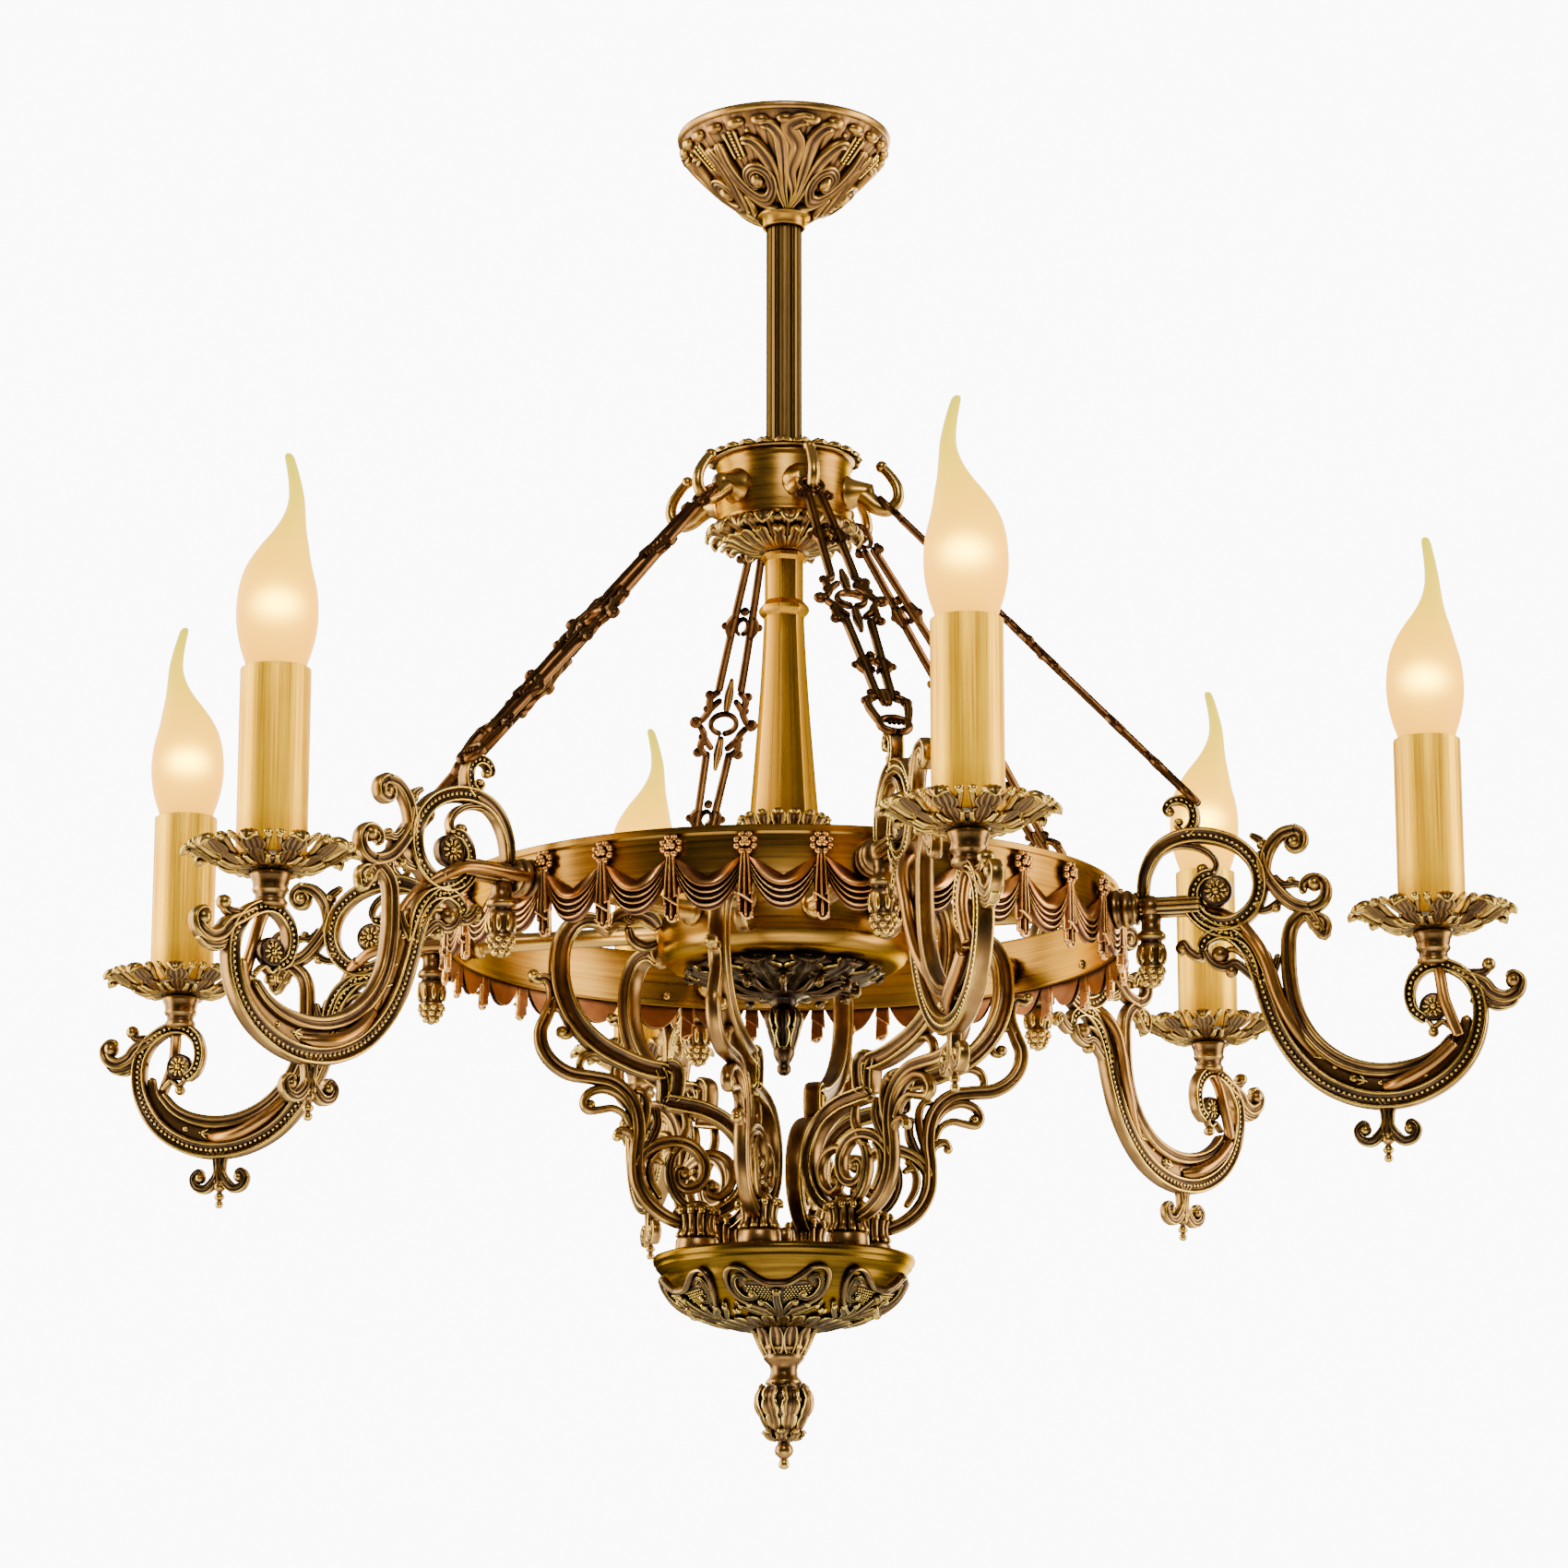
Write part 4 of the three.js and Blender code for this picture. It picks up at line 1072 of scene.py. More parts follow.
def cartouche(flat, x0):
    """One panel of the bowl in the flat: waved frame, stippled field, scrolls and acanthus."""
    waved = [(0, -12.6), (5, -12.0), (10, -8.8), (14.6, -5.0), (18.6, -4.2), (21.6, -7.2), (21.8, -13),
        (19, -19.5), (13.6, -25), (7, -29)]
    flat.stroke([(x0 - x, z) for x, z in waved[:0:-1]] + [(x0 + x, z) for x, z in waved], 3.0, 4.8,
        ROUND, step=.8, y=-.5, round_ends=False)
    flat.stroke([(x0 - 17, -15.5), (x0, -18.5), (x0 + 17, -15.5)], 11, 1.2, ROUND, step=1, y=0)
    flat.stroke([(x0 - 13, -11), (x0 - 17.5, -8.4)], 7, 1.5, ROUND, step=1, y=-.1)
    flat.stroke([(x0 + 13, -11), (x0 + 17.5, -8.4)], 7, 1.5, ROUND, step=1, y=-.1)
    flat.stroke([(x0 - 12, -24), (x0, -25.5), (x0 + 12, -24)], 9, 1.5, ROUND, step=1, y=-.1)
    for row in range(7):
        for k in range(-9, 10):
            x, z = k * 1.55 + .75 * (row % 2), -14.2 - row * 1.3 + .012 * k * k
            if abs(x) > 2.5:
                flat.ball((x0 + x, -.85, z), .5, (1, 1, 1), 6, 3)
    for side in (-1, 1):
        def at(points):
            return [(x0 + side * x, z) for x, z in points]

        flat.stroke(at([(13.2, -10.4), (16, -8.2), (18.6, -9.6), (19.0, -14), (16.8, -18.6),
            (13, -20.2), (10.6, -18.0), (12.4, -15.8)]), (1.6, 2.6, 2.0), 3.6, RIDGED, step=.7, y=-.5)
        flat.ball((x0 + side * 12.2, -1.6, -17.6), 1.5, (1, .9, 1), 10, 5)
        flat.stroke(at([(1.5, -36), (4.4, -28), (7.8, -22.6), (10.2, -23.4)]), (2.4, 3.4, 2.6), 4.4,
            RIDGED, step=.7, y=-.7)
        flat.ball((x0 + side * 8.6, -2.2, -22.2), 1.9, (1, .9, 1), 10, 5)
        flat.stroke(at([(4, -36), (9, -30), (13.4, -27.4), (16, -24)]), (2.4, 3.2, 2.2), 4.2, RIDGED,
            step=.7, y=-.7)
        flat.ball((x0 + side * 15.6, -2.0, -24), 1.8, (1, .9, 1), 10, 5)
        flat.stroke(at([(8, -36), (15, -31.5), (20, -27), (23, -22)]), (2.4, 3.2, 2.2), 4.0, RIDGED,
            step=.7, y=-.5)
        flat.ball((x0 + side * 21, -1.8, -25), 1.7, (1, .9, 1), 10, 5)
        flat.ball((x0 + side * 25, -1.6, -29), 1.8, (1, .9, 1), 10, 5)
    flat.stroke([(x0, -38), (x0, -28), (x0 - .6, -20), (x0 - .4, -15.6)], (3, 5.2, 3.4), (4, 5.4, 4.6),
        RIDGED, step=.7, y=-.8)
    flat.ball((x0 - .4, -2.4, -15.6), 2.3, (1, .9, .8), 12, 6)


def finial():
    drop = Casting()
    drop.turned([(0, -637.4), (1.2, -637.2), (2.2, -636.4), (2.6, -635), (2.2, -633.4), (1.6, -632.6),
        (2.6, -631.8), (4, -630.4), (4.4, -628.8), (3.9, -627), (2.9, -625.8), (2.9, -624),
        (4.6, -623.4), (7.4, -622), (7.7, -619.6), (8.8, -616), (11, -611), (12.2, -607.2),
        (11.6, -604), (9.6, -601.4), (7.6, -599.6), (8.6, -598.8), (8.2, -597.4), (6.6, -595.6),
        (6.1, -593), (6.6, -590.6), (8.4, -588.6), (9.3, -587.6), (9.4, -585.6), (9, -584.4),
        (10.4, -583.6), (10.4, -582), (9.6, -580), (11, -577), (13.4, -574.6), (14, -573.8),
        (3, -573.6), (3, -534.2), (3.6, -533), (3.9, -531), (3.4, -529), (2, -527.6), (0, -527.2)], 72)
    leaf_row(drop, 8, 0, [(7, -620), (9.6, -615), (12.2, -609.4), (12.6, -605), (10.8, -601.2),
        (11.6, -599.6)], 4.4, 1.5, lobes=3, rows=24, cols=9)
    leaf_row(drop, 8, 22, [(5, -624.4), (7.4, -622.8), (8.8, -620.6), (9.6, -621.6)], 2.8, 1.1, lobes=2,
        ribs=2, rows=14, cols=7)
    leaf_row(drop, 12, 0, [(9.2, -586), (10.2, -581.4), (12.0, -577), (15.4, -573.6)], 3.3, 1.6,
        lobes=1, ribs=2, cup=.35, rows=20, cols=9)
    make_piece("finial_turned", drop, ANTIQUE, FRAME_BODY, ["finial"])


# ---- Candle arms ---------------------------------------------------------------------------------
THICK = 7.4         # arm casting, side to side
BEAD_Y = 2.4        # how far the beads stand from its middle plane


def reeding(a, f):
    """Twelve grooves along the arm's bar, which fade out at its ends."""
    return -.55 * np.abs(np.cos(6 * a)) ** 3 * np.clip(f * 6, 0, 1) * np.clip(6 - f * 6, 0, 1)


def arm_casting():
    arm = Casting()
    axle = Casting()
    axle.turned([(0, 155.5), (7.4, 155.6), (8.8, 156.2), (9.2, 157.4), (8.6, 158.8), (7.4, 159.8),
        (8.2, 160.8), (8.8, 162.4), (8.2, 164), (6.8, 165), (7.6, 166), (7.6, 167.2), (5.6, 168),
        (4.6, 169), (0, 169.2)], 48)
    reeds = Casting()
    reeds.turned([(0, 166), (4.9, 166.4), (4.9, 196), (0, 198)], 72, reeding, rows=40)
    for solid in (axle, reeds):
        arm.add_casting(solid, lie_outwards)
    arm.ball((173, 0, -388), 6.4, (.85, 1, .9), 20, 10)

    drop = Casting()
    drop.turned([(0, -425.4), (1.4, -425), (2.6, -423.6), (4.2, -421), (5.6, -417.6), (6.3, -415.8),
        (5.2, -415), (5.8, -412), (6.8, -408), (6.4, -405.4), (5, -404.4), (4.8, -403), (6.6, -402.4),
        (6.8, -400.8), (6, -399.6), (4.6, -398.4), (4.4, -395), (5, -392), (0, -388)], 40)
    for i in range(9):
        drop.ball((6.0 * math.cos(TAU * i / 9), 6.0 * math.sin(TAU * i / 9), -410), 1.25, (1, 1, 3.4),
            8, 6)
    for row, (radius, z, count) in enumerate(((5.4, -417.6, 9), (4.4, -420.2, 8), (3, -422.8, 6))):
        for i in range(count):
            a = TAU * (i + .5 * (row % 2)) / count
            drop.ball((radius * math.cos(a), radius * math.sin(a), z), 1.5, (1, 1, 1), 8, 5)
    arm.add_casting(drop, shift(x=173))

    big_loop = arm.stroke([(169.5, -384), (171, -372), (176.5, -362), (186, -356.6), (199, -356),
        (212, -360.5), (220.6, -369), (223.6, -379), (221.4, -388.5), (214.5, -395.4), (206, -397.4),
        (198, -394.6), (193.6, -388.4), (193.4, -381), (197, -375.4), (203, -373.6)], (5.6, 7.6, 7.2,
        7.4, 5), (6.4, THICK, THICK), CHANNEL, step=.8)
    arm.beads(big_loop[len(big_loop) // 4:], 2.5, .82, BEAD_Y)
    arm.rosette((203.4, -382), 7.2, 10, 1.0, 2.4)
    arm.stroke([(176, -364.5), (185, -360.2), (194, -361), (200.5, -364.4), (203.6, -369.4),
        (202, -373.6), (198, -374.4), (195.6, -371.6), (197.4, -369.4)], (2.6, 3.6, 2.4), (4, 5.6, 4.6),
        RIDGED, step=.7)
    arm.knob(197.6, -371.4, 2.5, 1.25)

    hook = arm.stroke([(189, -355.4), (193, -351.4), (194, -346.6), (192.4, -341.6), (188, -338.8),
        (183.2, -339.6), (180.8, -343), (182.6, -345.6)], (5.6, 5.2, 4.6, 3), (6.4, 6.2, 5.2), CHANNEL,
        step=.7)
    arm.beads(hook[4:-8], 2.3, .72, 2.1)
    arm.knob(182.6, -344, 2.4)
    arm.stroke([(192, -354), (187.4, -352.6), (185.2, -349.6), (187, -347.4)], (3, 2.8, 2), (5, 5, 4),
        ROUND, step=.6)
    arm.knob(187, -349, 1.9, 1.3, 10, 6)

    arm.stroke([(225.6, -380), (226, -370), (228.6, -362.6), (233.6, -357.4), (239.4, -355.8)]
        + curl((239.2, -361), 5.3, 88, -1.05, 1.6), (5.0, 6.4, 5.6, 3.6), (6.4, THICK, 5.6), GROOVED,
        step=.7)
    arm.knob(239.4, -361, 3.3)
    arm.stroke([(224, -364), (225.6, -374), (230.6, -382.4), (237.6, -389.4), (245.4, -392.2)]
        + curl((246.6, -383.4), 8.8, -95, .86, 3.0), (5.0, 6.6, 6.0, 4), (6.4, THICK, 5.6), GROOVED,
        step=.7)
    arm.knob(248.2, -380.8, 3.8, 1.2, 14, 8)
    arm.stroke([(229.6, -376), (234, -380.4), (239.4, -380.4), (244.6, -382.4)], (3, 3.8, 3),
        (4.6, 5.6, 4.6), RIDGED, step=.6)
    for x, z, size in ((237.6, -379, 2.2), (224.6, -361.6, 2.6), (222.6, -389.4, 2.6),
            (230.4, -391, 2.4)):
        arm.knob(x, z, size, 1.35, 10, 6)
    arm.stroke([(219, -356.4), (224.4, -360.4), (226.4, -367)], (2.6, 4.6, 3), (4, 6.4, 5), RIDGED,
        step=.6)
    arm.stroke([(222, -392.4), (227, -391.6), (231.6, -388.6), (234.4, -384.6)], (3, 4.0, 3),
        (4.6, 5.8, 4.6), RIDGED, step=.6)

    arm.stroke(curl((248.6, -399.6), 5.4, -60, 1.0, 1.4)[::-1] + [(245, -394.9), (239.8, -396.8),
        (236.4, -402.6), (235.6, -412), (236, -425), (239, -439.6), (246, -452), (256.4, -461.2),
        (268.6, -466.2), (281, -467.2), (293, -464.8), (302, -460), (309, -452.6)], (2.6, 6.6, 7.4, 7.4,
        7.4, 6.6, 4.4), (4.6, 6.6, THICK, THICK, 6.6), GROOVED, step=.8)
    arm.knob(249, -400, 2.9)
    lower = arm.stroke([(190, -387.6), (194, -393.6), (201, -399.2), (209.6, -402.6), (216.6, -409.4),
        (221.4, -420), (225.4, -433.6), (230.6, -447.6), (238.4, -460.4), (248.6, -470.8),
        (260.4, -477.4), (273, -480.6), (286, -480.4), (298, -476.6), (308.6, -469.6), (316.4, -459.6),
        (320.4, -448), (320.2, -436.4), (315.4, -427.2), (307, -421.6), (298.6, -421.2), (292, -426),
        (289.6, -433.6), (291.4, -441.4), (297, -446)], (6, 7, 8.2, 8.2, 8.2, 8, 7, 6.2, 4.6),
        (6.2, THICK, THICK, THICK, 6), CHANNEL, step=.8)
    arm.beads(lower[14:], 2.5, .85, BEAD_Y)
    arm.rosette((300.0, -439.8), 6.4, 10, .9, 2.2)
    arm.knob(299.6, -451, 2.5, 1.3)
    arm.stroke([(296.6, -445), (300, -448.6), (304, -446.6), (309, -451)], (2, 3, 2.4), (4, 5, 4),
        ROUND, step=.6)

    arm.stroke([(224, -410), (226.6, -420), (229.4, -431), (234.2, -443.6), (242.4, -456),
        (253.4, -465.6), (266, -471.6), (279.6, -473.6), (293, -471.4), (304.4, -464.6),
        (312.4, -454.6), (314.6, -444)], (6, 9, 9, 9, 8, 5), 2.4, ROUND, step=1.2)
    for x, z, size in ((255.4, -464.8, 1.5), (263.6, -470.4, 2.6), (275.6, -472.8, 1.7),
            (295.8, -470, 1.9), (243, -452.6, 1.5), (232.8, -436, 1.6), (228.6, -423.4, 1.7)):
        arm.knob(x, z, size, 1.15, 10, 6)
    for x, z, angle in ((250, -460.6, -42), (269, -472, -15), (287.6, -472.2, 10), (238.6, -446.6,
            -56)):
        for side in (-1, 1):
            a, b = math.radians(angle + side * 35), math.radians(angle)
            arm.stroke([(x, z), (x - 4.6 * math.cos(a), z - 4.6 * math.sin(a))], (1.9, 1.4, .8), 3.8,
                ROUND, step=.6)
        arm.stroke([(x - 5 * math.cos(b), z - 5 * math.sin(b)), (x + 1.4 * math.cos(b),
            z + 1.4 * math.sin(b))], (1.2, 1.8, 1.2), 4, ROUND, step=.6)

    inner_curve = arm.stroke([(225, -427), (223.4, -416), (219.4, -407.6), (212.6, -402.6),
        (204.6, -401.6), (198, -404.6), (196.2, -410)], (6.0, 6.8, 6.4, 5), (6.4, THICK, 6), CHANNEL,
        step=.7)
    arm.beads(inner_curve[4:-4], 2.4, .8, 2.35)
    arm.knob(204.6, -411.4, 4.2, 1.2, 14, 8)
    arm.stroke([(197.4, -411.2), (194.4, -411.6), (190.6, -409), (188.2, -405.4), (185.8, -407.6),
        (187.8, -410.8)], (5, 5, 4, 3), (6, 6, 4.8), RIDGED, step=.6)
    arm.knob(187.6, -407.8, 2.6, 1.3, 10, 6)
    arm.stroke([(197.6, -408.6), (201, -414.6), (206.4, -417), (211.4, -415.6), (216, -419),
        (221.6, -424.6)], (3.6, 4.8, 4), (5.6, 6.6, 5.6), RIDGED, step=.6)
    arm.knob(209.6, -419.2, 3.0, 1.3, 10, 6)
    arm.stroke([(207, -409), (212, -409.6), (217, -414), (220, -420)], (2.6, 3.6, 2.6), (4.6, 5.6, 4.6),
        ROUND, step=.6)
    arm.stroke([(231, -412), (229.4, -418), (226, -424), (225, -430)], (3, 4.4, 3), (4.6, 6.4, 5),
        RIDGED, step=.7)

    arm.stroke([(308, -422.6), (316, -427), (322.4, -430.4), (326.4, -435), (332, -437),
        (337.2, -434.6), (338.8, -429.8), (335.8, -426.8), (332.6, -428.6)], (4, 7.0, 6.6, 4.4),
        (6.4, THICK, 6.6, 5.2), GROOVED, step=.6)
    arm.stroke([(317, -432.4), (325, -438.4), (333, -440), (337.6, -436.6)], (3, 5, 3.4), (5, 6.2, 4.6),
        RIDGED, step=.6)
    arm.knob(335.8, -429.6, 3.7, 1.25)
    arm.stroke([(311, -424), (317.4, -425.6), (323, -425), (325.4, -421.8)], (3.4, 4.8, 3.4),
        (5, 6, 4.8), RIDGED, step=.6)
    arm.knob(325.0, -421.8, 3.2)
    arm.stroke([(316, -438), (322, -437.6), (327.6, -441.4), (333.4, -441.2)], (2.6, 3.6, 2.2),
        (4.6, 5.4, 4), RIDGED, step=.6)

    arm.stroke([(272.4, -479.6), (276.4, -484), (277.6, -490), (278, -498)], (4.2, 5, 5.6), 6, RIDGED,
        step=.7)
    arm.stroke([(284, -480), (279.8, -484), (278.6, -490), (278, -498)], (4.2, 5, 5.6), 6, RIDGED,
        step=.7)
    for side in (-1, 1):
        arm.stroke([(278, -489), (278 + side * 2.2, -494.6), (278 + side * 6.8, -499),
            (278 + side * 11.6, -498), (278 + side * 13.4, -493.8), (278 + side * 10.6, -490.8),
            (278 + side * 8.2, -493.2)], (4.6, 5.0, 4.0, 3), (5.6, 6, 4.8), RIDGED, step=.6)
        arm.knob(278 + side * 9.8, -493.8, 2.7, 1.3, 10, 6)
    beadstack = Casting()
    beadstack.turned([(0, -508.6), (1.4, -508.2), (2.1, -507), (1.9, -505.8), (1.1, -505),
        (2.3, -503.8), (2.5, -502.6), (1.5, -501.4), (1.2, -500.6), (2.7, -499.4), (3, -497.8),
        (2.2, -496), (0, -494)], 24)
    arm.add_casting(beadstack, shift(x=278))

    neck = Casting()
    neck.turned([(0, -421.6), (5.8, -421), (7.2, -420), (7.4, -418.4), (6.4, -417.2), (6.4, -415.4),
        (7.4, -414.4), (7.9, -413.2), (7.4, -412), (7.9, -409.4), (8.6, -408), (8.9, -406.6),
        (8.4, -405.7), (0, -405.6)], 48)
    arm.add_casting(neck, shift(x=CANDLE_R))
    return arm


def conduits():
    """The wiring tube: along the far face, through the scrolls to the near face, and up to the neck."""
    far = [(161, 5.7, -388.6), (178, 5.9, -388.4), (194, 6.0, -388.6), (203, 5.2, -390.6),
        (210, 2.4, -394.6)]
    across = [(209, 4.0, -393.6), (214, .4, -397.4), (219, -4.2, -403.4), (224, -6.2, -411),
        (228, -5.8, -421), (231, -5.0, -431.6), (236, -3.6, -443), (242, -.6, -453), (249, 2.0, -461.6)]
    under = [(246, 1.4, -458.6), (255, 4.8, -467), (266, 5.6, -473), (276, 3.6, -474.8),
        (284, -1.6, -474.2)]
    rise = [(278, 0, -475), (284, -4.4, -473.6), (292, -6.1, -470.2), (301, -6.0, -464.4),
        (309, -5.4, -457)]
    last = [(311.4, -3.8, -454), (308.4, -4.6, -446), (305.4, -4.6, -437), (304, -3.2, -428.6),
        (303, -1, -423)]
    pipe = Casting()
    for run in (far, across, under, rise, last):
        pipe.cord(run, 2.7, 18, 1.0)
    return pipe


def candle_pan():
    pan = Casting()
    petals = 10
    for i in range(petals):
        leaf = Casting()
        leaf.leaf([(9, 0, -405), (16, 0, -404), (23, 0, -401.2), (29, 0, -397.6), (33.4, 0, -395.8),
            (36.2, 0, -397.2), (36.0, 0, -399.4)], 5.4, 1.7, lobes=4, lobe_depth=.45, ribs=4, cup=.16,
            rows=34, cols=13)
        leaf.cord([(12, 0, -403.8), (20, 0, -401.2), (28, 0, -396.6), (33, 0, -394.8)], (1.3, 1.5, 1.0),
            8, 1)
        leaf.ball((35.4, 0, -397.4), 1.9, (1, 1.3, 1), 10, 6)
        for side in (-1, 1):
            leaf.cord([(19, side * 3.0, -402), (25, side * 5.0, -399.2), (30, side * 7.4, -396.2),
                (33.4, side * 8.6, -395.4), (34.2, side * 7.0, -396.4)], (1.1, 1.5, 1.3), 9, .9)
            leaf.ball((32.6, side * 8.0, -396.2), 1.7, (1, 1, 1), 10, 6)
            leaf.cord([(14, side * 2.2, -404.4), (18, side * 3.8, -404.2), (22, side * 5.2, -402.6)],
                (1.0, 1.3, .9), 8, .9)
        pan.add_casting(leaf, turn(360 / petals * i))
    pan.turned([(0, -405.4), (8.6, -405.4), (9.2, -404.6), (13.4, -403.4), (14.4, -402.4),
        (13.6, -401.6), (0, -401.2)], 64)
    return pan


def sleeve_casting():
    tube = Casting()
    tube.ring([(14.9, -399.2), (15.05, -398.4), (15.05, -318.5), (14.9, -318), (14.2, -317.9),
        (13.9, -318.4), (13.9, -399.2)], 96)
    return tube


BULB = smooth_line([(0.4, -2), (8, -1.6), (11.9, 0), (14, 5), (15.8, 11), (17.1, 18), (17.5, 25),
    (17, 33), (15.6, 40), (13.3, 47), (10.4, 54), (7.5, 60), (5.3, 66), (3.9, 72), (3.1, 79), (2.6, 86),
    (2.3, 91), (2.0, 94), (1.2, 95.3), (0.2, 95.6)], .9)


TAIL_START = 40             # height above the sleeve where the tail starts to lean
TAIL_BEND = 75              # and where it bends back
TAIL_LEAN = 7
BULB_LEANS = [166, 26, -14, -14, 166, -14]   # degrees from +X
GLOW_HEIGHT = 25


def bulb_casting():
    glass = Casting()
    glass.turned([(0, -2), *BULB[1:-1], (0, 95.6)], 48)
    points = glass.points[0]
    height = points[:, 2].copy()
    up = np.clip((height - TAIL_START) / 35, 0, 1)
    back = np.clip(height - TAIL_BEND, 0, 25) / 20
    points[:, 0] += TAIL_LEAN * np.sin(up * math.pi / 2) ** 2 - 3.8 * back ** 1.5
    points[:, 2] += SLEEVE_TOP_Z
    return glass, height


def candles():
    pan, sleeve = candle_pan(), sleeve_casting()
    for i, angle in enumerate(ARM_ANGLES):
        number = i + 1
        x = CANDLE_R * math.cos(math.radians(angle))
        y = CANDLE_R * math.sin(math.radians(angle))
        place = shift(x, y)
        make_piece(f"candle_pan_leaves_{number}", pan, ANTIQUE, FRAME_BODY, [f"candle_pan_{number}"],
            lambda p: place(turn(angle)(p)))
        tube = make_piece(f"sleeve_brushed_{number}", sleeve, GOLD_SLEEVE, f"sleeve_{number}",
            [f"sleeve_{number}"], flat_angle=40)
        tube.location = (x * MM, y * MM, 0)   # its own axis, which its brush lines follow
        glass, height = bulb_casting()
        lean = BULB_LEANS[i]
        lamp = make_piece(f"bulb_flame_{number}", glass, GLASS, f"bulb_{number}", [f"bulb_{number}"],
            lambda p: place(turn(lean)(p)))
        rise = lamp.data.attributes.new("rise", "FLOAT", "POINT")
        rise.data.foreach_set("value", np.clip(height / 95, 0, 1).astype(np.float32))
        heart = lamp.data.attributes.new("heart", "FLOAT", "POINT")
        glow = .8 * np.exp(-((height - GLOW_HEIGHT) / 7) ** 2) + .2 * np.exp(-((height - GLOW_HEIGHT)
            / 16) ** 2)
        heart.data.foreach_set("value", glow.astype(np.float32))
        cap = Casting()
        cap.turned([(0, -349), (3.4, -348.6), (5.4, -347), (8, -345), (8.6, -344), (8.9, -342),
            (8.2, -340.6), (8.9, -339), (8.2, -337.4), (8.9, -335.8), (8.2, -334), (8.9, -332.4),
            (8.4, -330), (9.4, -326), (11.4, -320.4), (0, -320)], 40)
        make_piece(f"bulb_cap_{number}", cap, ZINC, f"bulb_{number}", move=place)


# ---- Chains --------------------------------------------------------------------------------------
CHAIN_TOP = (50.6, -188.2)
CHAIN_LOW = (192.6, -337.4)


def oval(x, along, across, count=17):
    """A closed oval of a chain link, centred at x on its long axis."""
    return [(x + along * math.cos(a), across * math.sin(a)) for a in np.linspace(0, TAU, count)]


def chain_casting():
    """One cast link lying along x from the hook, its face across y."""
    length = math.hypot(CHAIN_LOW[0] - CHAIN_TOP[0], CHAIN_LOW[1] - CHAIN_TOP[1])
    link = Casting()

    def rod(points, width, thick, shape=GROOVED):
        link.stroke([(x, w) for x, w in points], width, thick, shape, step=.9)

    for side in (-1, 1):
        rod([(8, side * 3.0), (30, side * 3.9), (60, side * 5.0), (84, side * 5.6)], 3.9, 3.6)
        rod([(118, side * 5.8), (140, side * 4.9), (165, side * 3.9), (length - 22, side * 3.2)], 3.9,
            3.6)
        for x, w, size in ((10, 7, 2.4), (47, 8.4, 2.1), (86, 9.6, 2.5), (102, 14.0, 3.3),
                (119, 10.2, 2.7), (157, 8.2, 2.2), (length - 20, 8.8, 2.8), (94, 9.8, 2.0),
                (110, 9.6, 2.0), (length - 27, 5.8, 2.0)):
            link.ball((x, 0, side * w), size, (1, .74, 1), 12, 7)
        rod([(83, side * 4.6), (88, side * 9.0), (95, side * 8.6), (102, side * 12.0)], (3.4, 4.0, 3.2),
            3.8, ROUND)
        rod([(121, side * 5.4), (116, side * 9.4), (109, side * 8.8), (103, side * 12.2)],
            (3.4, 4.0, 3.2), 3.8, ROUND)
        rod([(96, side * 9.2), (92, side * 6.6), (88, side * 3.2)], (3.2, 3.6, 3.0), 3.8, ROUND)
        rod([(109, side * 9.2), (113, side * 6.6), (117, side * 3.2)], (3.2, 3.6, 3.0), 3.8, ROUND)
        rod([(40, side * 4.6), (47, side * 7.2), (54, side * 5)], (2, 3.4, 2), 3.8, ROUND)
        rod([(151, side * 4.6), (157, side * 7.2), (163, side * 4.4)], (2, 3.4, 2), 3.8, ROUND)
        rod([(6.4, side * 5.6), (9.6, side * 6.6), (12, side * 3.6)], (2.4, 3.0, 2.2), 3.6, ROUND)
        rod([(length - 24, side * 3.4), (length - 21, side * 8.2), (length - 15, side * 8.8),
            (length - 8, side * 7.4), (length - 2.4, side * 5.8)], (3, 3.8, 3.4), 3.8, RIDGED)
    for x, reach in ((47, 4.4), (157, 4.2)):
        rod(oval(x, reach, 2.7, 13), 2.0, 4.2, ROUND)
    rod(oval(102, 5.6, 6.4), 2.8, 3.8, ROUND)
    rod([(76, 0), (84, 0), (95, 0)], (1.6, 4.6, 3), (3, 3.8, 4), RIDGED)
    rod([(129, 0), (121, 0), (109, 0)], (1.6, 4.6, 3), (3, 3.8, 4), RIDGED)
    rod([(length - 30, 0), (length - 24, 0), (length - 17, 0)], (2.4, 6.6, 5), (3, 4.6, 4), RIDGED)
    rod([(36, 0), (41, 0)], 4.4, 3.6, ROUND)
    rod([(146, 0), (151, 0)], 4.2, 3.6, ROUND)
    rod(oval(1.2, 6.4, 5.4), 2.5, 3.0, ROUND)
    rod(oval(length - 1.6, 5.4, 6.6), 3.4, 3.8, ROUND)
    for k in (-1, 0, 1):
        link.ball((length - 3.4, .6, k * 2.0), 1.3, (1.6, 1, 1), 8, 5)
    return link


def chains():
    link = chain_casting()
    dx, dz = CHAIN_LOW[0] - CHAIN_TOP[0], CHAIN_LOW[1] - CHAIN_TOP[1]
    length = math.hypot(dx, dz)
    cos, sin = dx / length, dz / length

    def lay(points):
        along, up, across = points[:, 0], points[:, 1], points[:, 2]
        return np.stack([CHAIN_TOP[0] + along * cos - up * sin, across, CHAIN_TOP[1] + along * sin + up
            * cos], 1)
    for i, angle in enumerate(ARM_ANGLES):
        make_piece(f"chain_link_{i + 1}", link, DARK, f"chain_{i + 1}", [f"chain_{i + 1}"],
            lambda p: turn(angle)(lay(p)))


